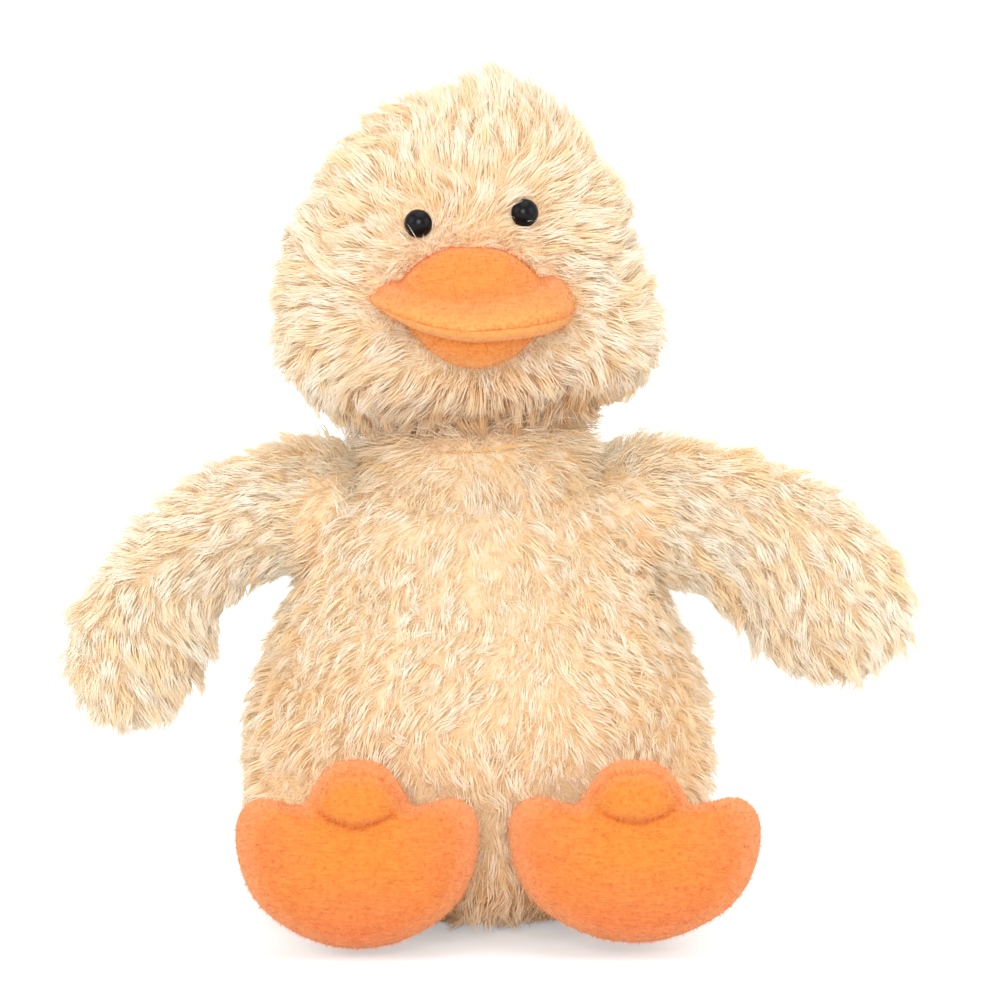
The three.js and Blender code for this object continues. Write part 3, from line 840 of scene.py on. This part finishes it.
def velour_piece(name, form, place, body_name, nodes, hairs):
    """One stuffed velour piece with its short nap of hairs, placed and attached to its body."""
    rng = np.random.default_rng(hairs)
    cloth = object_from(name + "_cloth", form, place, mm)
    places, _, corners = triangles_of(cloth.data)
    dyes = np.empty(len(places) * 4, np.float32)
    gaps = np.empty(len(places), np.float32)
    cloth.data.attributes["velour_dye"].data.foreach_get("color", dyes)
    cloth.data.attributes["seam_gap"].data.foreach_get("value", gaps)
    dyes = dyes.reshape(-1, 4)[:, :3]
    spots, outward = scattered(cloth.data, hairs, rng)
    bpy.data.objects.remove(cloth)
    nearest = owners(spots, places)
    reach = nap_length * mm * rng.uniform(0.5, 1, (hairs, 1))
    tips = spots + unit(outward + rng.normal(0, 0.5, spots.shape)) * reach
    hair_places, hair_corners = spikes(
        spots - outward * nap_root * mm, tips, outward, np.full(hairs, nap_radius * mm)
    )
    hair_dyes = np.repeat(dyes[nearest], 4, axis=0)
    hair_dyes[3::4] = np.minimum(1, hair_dyes[3::4] * nap_tip_painted_light)
    mesh = mesh_of(
        name,
        np.concatenate([places, hair_places]),
        np.concatenate([corners, hair_corners + len(places)]),
        len(corners),
        "velour_dye",
        np.concatenate([dyes, hair_dyes]),
    )
    layer = mesh.attributes.new("seam_gap", "FLOAT", "POINT")
    layer.data.foreach_set("value", np.concatenate([gaps, np.repeat(gaps[nearest], 4)]))
    mesh.materials.append(velour)
    piece = bpy.data.objects.new(name, mesh)
    bpy.context.scene.collection.objects.link(piece)
    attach(piece, body_name)
    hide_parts(*nodes)
    return piece


head_roll = math.radians(5.4)
head_yaw = math.radians(2.5)
head_place = (
    Matrix.Translation(neck_place)
    @ Matrix.Rotation(-head_roll, 4, "Y")
    @ Matrix.Rotation(head_yaw, 4, "Z")
)
brim_half_width = 28.2
brim_half_length = 33
bill_height = 59.5
bill_roll = math.radians(2.4)
brim_centre = Vector((-0.8, -46.7, bill_height))
bill_place = head_place @ Matrix.Translation(brim_centre) @ Matrix.Rotation(bill_roll, 4, "Y")
brim_middle = np.zeros(2)
brim_reach = 30
brim_crown = [
    (-28.2, 0.6), (-27, 2.2), (-25, 4.6), (-22.5, 6.6), (-19, 7.8), (-15, 8.2), (0, 9),
    (15, 9.3), (20, 9.4), (23.5, 9.2), (26, 8), (27.6, 5.5), (28.2, 3),
]
brim_softness = [(-28.2, 1.8), (-20, 3), (0, 4), (15, 2.8), (28.2, 1.1)]
lining_hang = [(-28.2, 0.3), (-24, 1.8), (-17, 3), (0, 4), (20, 4.2), (26, 3.6), (28.2, 2)]
seam_gap_width = 0.05
lining_share = 0.992


def brim_share(across, along):
    """A place's share of the way to the brim's rim, which is squarer at the right corner."""
    power = np.where(across > 0, 2.7, 2)
    total = np.abs(across / brim_half_width) ** power + np.abs(along / brim_half_length) ** power
    return total ** (1 / power)


brim_rim = np.array(
    [
        (brim_half_width * math.cos(turn), brim_half_length * math.sin(turn))
        for turn in np.linspace(0, 2 * math.pi, 200, endpoint=False)
    ]
)
brim_rim /= brim_share(*brim_rim.T)[:, None]


def seam_height(across):
    """The brim's seam is lowest in the middle and rises to both corners of the mouth."""
    share = np.abs(across) / brim_half_width
    return -3 + np.where(across > 0, 1.7 * share**2.5, 7.1 * share**1.7)


def dome_share(across, along):
    """1 on top of the dome, 0 off it: a long slope on the left, a steep one on the right."""
    left = np.maximum(0, (-4 - across) / 15) ** 1.7
    right = np.maximum(0, (across - 8) / 11) ** 2
    return np.maximum(0, 1 - left - right) ** 0.8 * ramp(along, -28, -3)


def bill_top_height(spot, share, side):
    """The brim is crowned like a pillow, more at the right corner, with the dome rising from it."""
    across, along = spot
    base = seam_height(across)
    if side < 0:
        return base + seam_gap_width * (1 - share)
    inward = (1 - share) * brim_reach
    crown = np.interp(across, *zip(*brim_crown))
    softness = np.interp(across, *zip(*brim_softness))
    pillow = crown * (1 - np.exp(-inward / softness))
    dome = (10.6 - 0.09 * across - 0.011 * (across - 1) ** 2) * dome_share(across, along)
    return base + np.maximum(seam_gap_width * (1 - share), pillow) + dome


def bill_top_look(spot, share, side):
    """Painted sheen makes it pale along the rim, and painted shade deepens it in the fold between
    dome and brim and, with the seam, along its join with the head.
    """
    across, along = spot
    inward = (1 - share) * brim_reach
    on_dome = float(dome_share(across, along))
    colour = blended(palest_orange_painted_light, pale_orange_painted_light, inward / 3)
    colour = blended(colour, orange_mid, (inward - 4) / 8 - max(0, abs(across) - 16) / 6)
    colour = blended(colour, orange_mid, on_dome * 4)
    # Painted shade in the fold between dome and brim, and along the join with the head, where both
    # the seam and the head's pile over it darken it.
    fold = math.exp(-(((on_dome - 0.08) / 0.07) ** 2)) * (inward > 5) * 0.3
    join = float(ramp(along, -4.5, -1.5)) * (abs(across) < 20) * 0.75
    return blended(colour, orange_painted_shade, max(fold, join)), inward * 1.1 + 0.55


def lining_full(across):
    """How far the rolled lining hangs below the seam."""
    return np.interp(across, *zip(*lining_hang))


def lining_height(spot, share, side):
    across, along = spot
    base = seam_height(across) - seam_gap_width
    if side > 0:
        return base
    return base - lining_full(across) * np.maximum(0, 1 - share**11) ** 0.5


def lining_look(spot, share, side):
    """Painted sheen makes it pale where it rolls out from under the rim, and painted shade deep in
    the mouth.
    """
    inward = (1 - share) * brim_reach
    colour = blended(palest_orange_painted_light, pale_orange_painted_light, inward / 3)
    return blended(colour, orange_painted_shade, (inward - 3) / 5), 1.6 + inward


velour_piece(
    "bill_top",
    crowned_form(brim_rim, brim_middle, bill_top_height, bill_top_look, rings=36),
    bill_place,
    "head",
    ["upper_bill_top", "upper_bill_stuffing"],
    hairs=5500,
)
velour_piece(
    "bill_lining",
    crowned_form(brim_rim * lining_share, brim_middle, lining_height, lining_look, rings=24),
    bill_place,
    "head",
    ["upper_bill_lining"],
    hairs=2500,
)
lip_half_width = 17.3
lip_half_length = 17
lip_middle = np.array([-0.6, -8])
lip_tuck = 0.7
lip_depth = 9.3
lip_rise = 2
lip_rim = lip_middle + np.array(
    [
        (lip_half_width * math.cos(turn), lip_half_length * math.sin(turn))
        for turn in np.linspace(0, 2 * math.pi, 120, endpoint=False)
    ]
)


def lip_height(spot, share, side):
    """The lip is sewn in just above the lining's lowest line and hangs down from it."""
    sewn = seam_height(spot[0]) - lining_full(spot[0]) + lip_tuck
    deep = lip_depth if side < 0 else lip_rise
    return sewn + side * deep * np.maximum(0, 1 - share**2.1) ** 0.72


far_from_seams = 9


# Painted light: the lip is paler towards its middle, which faces down and forward, away from the
# lamps.
def lip_look(spot, share, side):
    return blended(orange_mid, palest_orange_painted_light, (1 - share) * 1.2), far_from_seams


velour_piece(
    "bill_lip",
    crowned_form(lip_rim, lip_middle, lip_height, lip_look, rings=24),
    bill_place,
    "head",
    ["lower_bill_cover", "lower_bill_stuffing"],
    hairs=2200,
)

# Head: a ball of the same cloth, full at the cheeks, stuffed and drawn in at the neck. Its pile is
# brushed away from the bill: up on the crown, out and down over the cheeks, and down at the chin.
head_width = 112.6
head_depth = 98
head_height = 110.7
head_rise = 14
head_forward = 2
head_shares = [
    (0, 0), (0.284, 0.009), (0.462, 0.045), (0.657, 0.113), (0.835, 0.185), (0.959, 0.2755),
    (1, 0.379), (0.968, 0.497), (0.888, 0.623), (0.764, 0.745), (0.604, 0.849), (0.382, 0.939),
    (0, 1),
]
bill_centre = np.array([-0.8, -58, 62])
eye_across = {"left": 16.35, "right": -13.15}
eye_height = 83.6
eye_depth = -41.5
eye_spots = [np.array([across, eye_depth, eye_height]) for across in eye_across.values()]
eye_clear_radius = 3.1
clear_above, clear_below = 3.3, 2.5
kept_on_the_eyes = 0.04
# Painted shade under the chin: the share of red, green and blue it takes away.
painted_chin_shade = np.array([0.28, 0.54, 0.78])
crown_tuft = (13, -6)


def head_tint(spots, tone):
    """Cream, with golden painted shade under the chin."""
    low = ramp(-spots[:, 2], -46, -30) * ramp(-spots[:, 1], -10, 20)
    low = (low * ramp(-np.abs(spots[:, 0]), -46, -24))[:, None]
    tip = tip_cream + (tip_straw - tip_cream) * tone[:, None] ** 1.5
    tip = tip * 0.97
    root = root_gold_painted_shade * 0.8 + tip * 0.2
    return root * (1 - low * painted_chin_shade), tip * (1 - low * painted_chin_shade * 0.5)


def head_flow(spots, outward):
    """Away from the bill, then up on the crown and down elsewhere."""
    away = unit(spots - bill_centre)
    behind = ramp(spots[:, 1], -20, 30)[:, None]
    crown = ramp(spots[:, 2], 88, 112)[:, None]
    low = ramp(-spots[:, 2], -80, -45)[:, None]
    down = np.array([0, 0, -1.0])
    up = np.array([0, 0.15, 1.0])
    down_share = (0.25 + 0.6 * behind + 0.5 * low) * (1 - crown)
    return away * (1 - 0.6 * behind) + down * down_share + up * crown


def in_the_bill(points, margin):
    """Which places lie inside the bill, or within a margin of it."""
    off = points - np.array(brim_centre)
    across = off[:, 0] * math.cos(bill_roll) - off[:, 2] * math.sin(bill_roll)
    up = off[:, 0] * math.sin(bill_roll) + off[:, 2] * math.cos(bill_roll)
    share = brim_share(across, off[:, 1])
    spot = (across, off[:, 1])
    brim = (up < bill_top_height(spot, share, 1) + margin) & (
        up > lining_height(spot, share, -1) - margin
    )
    lip_share = np.hypot(
        (across - lip_middle[0]) / lip_half_width, (off[:, 1] - lip_middle[1]) / lip_half_length
    )
    lip = (up > lip_height(spot, lip_share, -1) - margin) & (up < 0) & (lip_share < 1)
    return ((brim & (share < 1)) | lip) & (points[:, 1] < -25)


def off_the_face(spots, middles, tips, rng):
    """Keeps the pile out of the bill and mostly off the eyes, whose lower rims it may cover."""
    bill = in_the_bill(spots, -0.3)
    eyes = np.zeros(len(spots), bool)
    for points in (middles, tips, (middles + tips) / 2, (spots + middles) / 2):
        bill |= in_the_bill(points, -0.3)
    for centre in eye_spots:
        rooted = np.hypot(spots[:, 0] - centre[0], spots[:, 2] - centre[2]) < eye_clear_radius
        eyes |= rooted & (spots[:, 1] < 0)
        for points in (middles, tips, (middles + tips) / 2):
            off = np.hypot(points[:, 0] - centre[0], points[:, 2] - centre[2])
            clear = np.where(points[:, 2] > centre[2], clear_above, clear_below)
            eyes |= (off < clear) & (points[:, 1] < 0)
    hidden = (np.linalg.norm(spots, axis=1) < neck_ball_radius - 2) & (spots[:, 2] < 30)
    return bill | (eyes & (rng.random(len(spots)) > kept_on_the_eyes)) | hidden


head_skin_line = [
    (0, 17), (15, 17.6), (25, 20.5), (36, 27), (45.5, 34.5), (51.5, 44.5), (52.3, 56),
    (49.5, 69), (44.3, 83), (37, 96), (28, 106.5), (16, 114.5), (0, 118),
]
head_skin_shares = [
    (half * 2 / head_width, height / head_height) for half, height in head_skin_line
]
head_skin = one_skin(
    "head_skin",
    [stuffed_form(head_skin_shares, head_width, head_depth, head_height, 0)],
    cloth_voxel,
    cloth_rounds,
)
head_skin.data.transform(Matrix.Translation((0, -head_forward, 0)))
# The stuffing has settled a little unevenly: an angle round the head's middle and a push outwards.
uneven_stuffing = [
    (-180, 0.5), (-165, 0.6), (-150, -0.5), (-130, -0.8), (-90, 0), (-65, -0.6), (-52, -1),
    (-40, 1.2), (-30, 0.6), (-21, -1), (-13, -3.4), (-6, -5), (5, -4.7), (20, -1.5), (35, -1.8),
    (57, 0.6), (75, 1.2), (87, -3.6), (100, -4), (115, -2.8), (135, -1.8), (150, -2),
    (165, 0.3), (180, 0.5),
]
head_middle_height = 66
chin_lift = 5.5
for vertex in head_skin.data.vertices:
    x, y, z = vertex.co
    up = z - head_middle_height
    push = float(np.interp(math.degrees(math.atan2(up, x)), *zip(*uneven_stuffing)))
    push *= float(ramp(math.hypot(x, up), 20, 45))
    lifted = chin_lift * float(ramp(-z, -42, -26) * ramp(-y, 5, 30))
    vertex.co += Vector((x, 0, up)).normalized() * push + Vector((0, 0, lifted))


def round_the_bill(spots):
    """1 close to the bill and the eyes, where the pile stands and crosses, and 0 away from them."""
    near = 0.6 * in_the_bill(spots, 6) + 0.4 * in_the_bill(spots, 3)
    for centre in eye_spots:
        near = np.maximum(near, 0.6 * (1 - ramp(np.linalg.norm(spots - centre, axis=1), 6, 9)))
    return near


def head_longer(spots):
    """One tuft stands up on the crown, and the pile is shorter at the chin and round the bill."""
    chin = ramp(-spots[:, 2], -36, -20) * ramp(-spots[:, 1], -10, 25)
    off = np.hypot(spots[:, 0] - crown_tuft[0], spots[:, 1] - crown_tuft[1])
    tuft = ramp(-off, -11, -3) * (spots[:, 2] > 95)
    return (1 - 0.1 * chin + 0.45 * tuft) * (1 - 0.4 * round_the_bill(spots))


head_look = dict(
    plain_look,
    count=47000,
    short_hairs=30000,
    length=9.6,
    radius=0.135,
    tuft_gap=3.3,
    swing=0.34,
    swirl=0.42,
    lean=1.1,
    gather=0.42,
    strays=0.1,
    longer=head_longer,
    ruffled=round_the_bill,
)
head = pile_cloth(
    "head_fur", head_skin, head_look, head_flow, head_tint, head_place, off_the_face, seed=21
)
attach(head, "head")
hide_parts("head_cover", "head_stuffing")

# Neck thread: a doubled polyester thread that draws the head's cloth in round the neck and sews it
# to the body. It is tightly twisted, so it is smoother than the pile and has a faint gloss.
thread_fibre, tree = new_material("straw_polyester_thread")
surface = add_node(
    tree,
    "BsdfPrincipled",
    inputs={"Base Color": (*linear("#e3bf8c"), 1), "Roughness": 0.7, "Specular IOR Level": 0.2},
)
add_node(tree, "OutputMaterial", links={"Surface": surface.outputs[0]})
thread = frame["nodes"]["neck_thread"]
thread.data.materials.clear()
thread.data.materials.append(thread_fibre)

# Wings: each is a bent, rounded limb of the same cloth, sewn in at the shoulder. The pile is
# combed outwards along the wing, finer and smoother than on the belly.
wing_thickness = 30
wing_sweep = math.radians(6)
wing_voxel = 2
wing_rounds = 4
# How far the bend between body and wing reaches on both sides of the shoulder.
wing_levels = (0, 0.3, 0.55, 0.74)
wing_shapes = {
    "left": dict(length=90.8, bend=93.8, lift=9.4, raised=0.2, halves=(24.5, 23.9, 25.4, 26.8)),
    "right": dict(length=94, bend=106, lift=2.2, raised=2.4, halves=(22.4, 20, 20, 23)),
}
wing_shares = [
    (0, -0.14), (0.5, -0.13), (0.85, -0.08), (0.97, 0), (1, 0.12), (1, 0.3), (1, 0.55),
    (1, 0.74), (0.86, 0.87), (0.57, 0.96), (0, 1),
]
wing_look = dict(
    plain_look,
    count=15500,
    short_hairs=8000,
    length=9.8,
    radius=0.135,
    tuft_gap=3.3,
    swing=0.28,
    swirl=0.3,
    lean=1.12,
    gather=0.42,
)


def wing_tint(spots, tone):
    """Paler than the belly, right down to the roots."""
    tip = tip_cream + (tip_straw - tip_cream) * tone[:, None] ** 1.5
    return root_gold_painted_shade * 0.65 + tip * 0.35, tip


def bend_down(straight, sign, arc, raised):
    """Bends a wing that stands up into an arc that runs out to its side and down."""
    for vertex in straight.verts:
        up, out, along = vertex.co
        angle = along / arc
        from_middle = arc + up + raised
        vertex.co = (
            sign * from_middle * math.sin(angle),
            out,
            from_middle * math.cos(angle) - arc,
        )


def along_the_wing(sign, arc):
    """The way the pile lies on a bent wing: out along it, and a little down."""

    def flow(spots, outward):
        angle = np.arctan2(sign * spots[:, 0], spots[:, 2] + arc)
        return np.stack([sign * np.cos(angle), np.zeros(len(angle)), -np.sin(angle) - 0.15], axis=1)

    return flow


for side, sign, shoulder in (("left", 1, left_shoulder), ("right", -1, right_shoulder)):
    shape = wing_shapes[side]
    halves = [np.interp(z, wing_levels, shape["halves"]) - pile_depth for _, z in wing_shares]
    widest = max(halves)
    straight = stuffed_form(
        [(x * half / widest, z) for (x, z), half in zip(wing_shares, halves)],
        2 * widest,
        wing_thickness - 2 * pile_depth,
        shape["length"] - pile_depth,
        0,
    )
    wing_arc = shape["length"] / math.radians(shape["bend"])
    bend_down(straight, sign, wing_arc, shape["raised"])
    wing_place = (
        Matrix.Translation(shoulder)
        @ Matrix.Rotation(-sign * math.radians(shape["lift"]), 4, "Y")
        @ Matrix.Rotation(-sign * wing_sweep, 4, "Z")
    )
    wing = pile_cloth(
        side + "_wing_fur",
        one_skin(side + "_wing_skin", [straight], wing_voxel, wing_rounds),
        wing_look,
        along_the_wing(sign, wing_arc),
        wing_tint,
        wing_place,
        seed=31 if sign > 0 else 32,
    )
    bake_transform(wing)
    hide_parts(side + "_wing_cover", side + "_wing_stuffing")

# Eyes: domed black safety eyes of moulded plastic, pushed through the cloth and locked behind it
# with a washer.
eye_radius = 4
eye_dome = 3.6
eye_cut = 0.2
eye_out = 2.6
# Moulded black plastic: nearly black all over, with one small soft highlight.
eye_plastic, tree = new_material("moulded_black_plastic")
surface = add_node(
    tree,
    "BsdfPrincipled",
    inputs={
        "Base Color": (*linear("#0d0c0f"), 1),
        "Roughness": 0.2,
        "Specular IOR Level": 0.15,
    },
)
add_node(tree, "OutputMaterial", links={"Surface": surface.outputs[0]})
# Moulded white polyethylene: waxy and milky, with a broad dull sheen.
washer_plastic, tree = new_material("moulded_white_polyethylene")
surface = add_node(
    tree, "BsdfPrincipled", inputs={"Base Color": (*linear("#e9e4da"), 1), "Roughness": 0.45}
)
add_node(tree, "OutputMaterial", links={"Surface": surface.outputs[0]})


def head_front_at(height, across):
    """How far forward the head's pile reaches at a height above the neck and a place across."""
    levels = [head_rise + z * head_height for _, z in head_shares]
    halves = [x * head_width / 2 for x, _ in head_shares]
    half = np.interp(height, levels, halves)
    return -head_forward - half * head_depth / head_width * math.sqrt(1 - (across / half) ** 2)


for side, across in eye_across.items():
    front = head_front_at(eye_height, across)
    facing = math.atan2(across, -front)
    dome = bmesh.new()
    bmesh.ops.create_uvsphere(dome, u_segments=40, v_segments=24, radius=eye_radius)
    below = [vertex for vertex in dome.verts if vertex.co.z < -eye_cut]
    bmesh.ops.delete(dome, geom=below, context="VERTS")
    rim = [edge for edge in dome.edges if edge.is_boundary]
    bmesh.ops.holes_fill(dome, edges=rim, sides=0)
    bmesh.ops.scale(dome, vec=(1, 1, eye_dome / eye_radius), verts=dome.verts)
    turn = (
        head_place
        @ Matrix.Translation((across, front + eye_out, eye_height))
        @ Matrix.Rotation(facing, 4, "Z")
        @ Matrix.Rotation(math.pi / 2, 4, "X")
    )
    eye = object_from(side + "_eye_dome", dome, turn, mm)
    eye.data.materials.append(eye_plastic)
    for face in eye.data.polygons:
        face.use_smooth = True
    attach(eye, "head")
    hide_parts(side + "_eye")
    washer = frame["nodes"][side + "_eye_washer"]
    washer.data.materials.clear()
    washer.data.materials.append(washer_plastic)

# Feet: flat webbed pads of the same velour, a sole panel and an upper panel seamed round the
# edge and stuffed, each with a rounded middle toe, on short fur legs sewn to the belly.
foot_sizes = {"left": (70, 51), "right": (67.6, 53.2)}
foot_lift = 2.2
foot_front = 9.5
foot_back = 6.2
foot_shares = [
    (0, -0.004), (0.13, 0.002), (0.26, 0.017), (0.4, 0.047), (0.54, 0.092), (0.68, 0.15),
    (0.79, 0.212), (0.88, 0.292), (0.95, 0.396), (0.99, 0.5), (1, 0.613), (0.985, 0.68),
    (0.93, 0.745), (0.84, 0.785), (0.74, 0.79), (0.6, 0.762), (0.47, 0.742), (0.41, 0.775),
    (0.37, 0.835), (0.31, 0.897), (0.23, 0.955), (0.13, 0.99),
]
foot_leans = {"left": math.radians(6), "right": math.radians(2)}
foot_reaches = {"left": 21.95, "right": 16.35}
foot_middle_share = 0.44
foot_rim_count = 240
toe_half_width = 11.8
toe_low_share, toe_high_share = 0.675, 0.96
toe_rise = 4.2
web_dip = 1.1
edge_gap = 0.55
leg_width = 13
leg_extra, leg_shift = 8, 6
leg_voxel = 1.5
leg_rounds = 2
leg_look = dict(plain_look, count=1800, short_hairs=1200, length=8)


def smooth_rim(points, count):
    """Rounds a closed line by cutting its corners, and spaces its places evenly from its right."""
    line = np.array(points, float)
    for _ in range(4):
        after = np.roll(line, -1, axis=0)
        cut = np.stack([line * 0.75 + after * 0.25, line * 0.25 + after * 0.75], axis=1)
        line = cut.reshape(-1, 2)
    closed = np.vstack([line, line[:1]])
    run = np.concatenate([[0], np.cumsum(np.linalg.norm(np.diff(closed, axis=0), axis=1))])
    spaced_out = np.linspace(0, run[-1], count, endpoint=False)
    return np.stack([np.interp(spaced_out, run, closed[:, i]) for i in (0, 1)], axis=1)


def toe_share(spot, tall):
    """How far a place is from the middle of the toe, 1 at its edge, on a foot so tall."""
    middle = (toe_low_share + toe_high_share) / 2
    half = (toe_high_share - toe_low_share) / 2
    low = min(0, spot[1] / tall - middle)
    return math.hypot(spot[0] / toe_half_width, low / half)


def forward_and_down(spots, outward):
    return np.tile([0, -1.0, -0.4], (len(spots), 1))


def foot_depth(spot, share, side, tall):
    """A pad with a rounded toe standing on its front and a dip in the web on both sides of it."""
    if side < 0:
        return -foot_back * (1 - share**2.2) ** 0.55
    toe = toe_rise * math.sqrt(max(0, 1 - toe_share(spot, tall) ** 2)) * ramp(spot[1], 20, 32)
    web = web_dip * math.exp(-(((abs(spot[0]) - 15) / 5) ** 2)) * ramp(spot[1], 22, 34)
    pad = foot_front * (1 - share**3.2) ** 0.6
    return pad + toe * (1 - share**6) - web * (1 - share**4)


def foot_look(spot, share, side, tall):
    """Painted shade makes it deeper low down, towards the outer sides and in the crease under the
    toe;
    painted sheen makes it paler along the edge, and painted light paler on the toe above the
    crease.
    """
    low = 1 - spot[1] / 24
    outer = abs(spot[0]) / 26 - 0.35
    # Painted shade low down and towards the outer sides, and painted sheen along the edge.
    colour = blended(orange_mid, orange_painted_low_shade, max(low, outer * 0.8))
    colour = blended(colour, salmon_painted_sheen, (share - 0.78) / 0.24)
    toe = toe_share(spot, tall)
    toe_bottom = toe_low_share * tall
    below = ramp((toe_low_share + 0.09) * tall - spot[1], 0, 4) * (spot[1] > toe_bottom - 4)
    # Painted shadow under the toe, and painted light on the toe just above it.
    painted_crease_shade = math.exp(-(((toe - 1.05) / 0.09) ** 2)) * below
    colour = blended(colour, orange_painted_shade, painted_crease_shade * 0.9)
    colour = blended(colour, pale_orange_painted_light, 0.4 * (toe < 0.97) * ramp(-toe, -0.97, -0.6) * below)
    gap = far_from_seams
    if side > 0 and spot[1] > 0.74 * tall and abs(spot[0]) < 15:
        gap = abs(share - 0.9) * 26
    return colour, gap + edge_gap


for side, sign, hip in (("left", 1, left_hip), ("right", -1, right_hip)):
    reach = foot_reaches[side]
    wide, tall = foot_sizes[side]
    foot_half = [(x * wide / 2, z * tall) for x, z in foot_shares]
    mirrored = [(-x, z) for x, z in reversed(foot_half[1:])]
    foot_rim = smooth_rim(foot_half + mirrored, foot_rim_count)
    foot_turn = (
        Matrix.Translation(hip)
        @ Matrix.Rotation(-foot_leans[side], 4, "X")
        @ Matrix.Translation((0, -reach, foot_lift - hip.z))
        @ Matrix.Rotation(math.pi / 2, 4, "X")
    )
    velour_piece(
        side + "_foot_pad",
        crowned_form(
            foot_rim,
            np.array([0, tall * foot_middle_share]),
            partial(foot_depth, tall=tall),
            partial(foot_look, tall=tall),
            rings=30,
        ),
        foot_turn,
        side + "_foot",
        [side + "_foot_sole", side + "_foot_upper", side + "_foot_stuffing"],
        hairs=9000,
    )
    leg_skin = one_skin(
        side + "_leg_skin",
        [oval_ball((leg_width, reach + leg_extra, leg_width), (0, leg_shift - reach / 2, 0))],
        leg_voxel,
        leg_rounds,
    )
    leg = pile_cloth(
        side + "_leg_fur",
        leg_skin,
        leg_look,
        forward_and_down,
        body_tint,
        Matrix.Translation(hip),
        seed=41 if sign > 0 else 42,
    )
    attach(leg, side + "_foot")
    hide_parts(side + "_leg_cover", side + "_leg_stuffing")
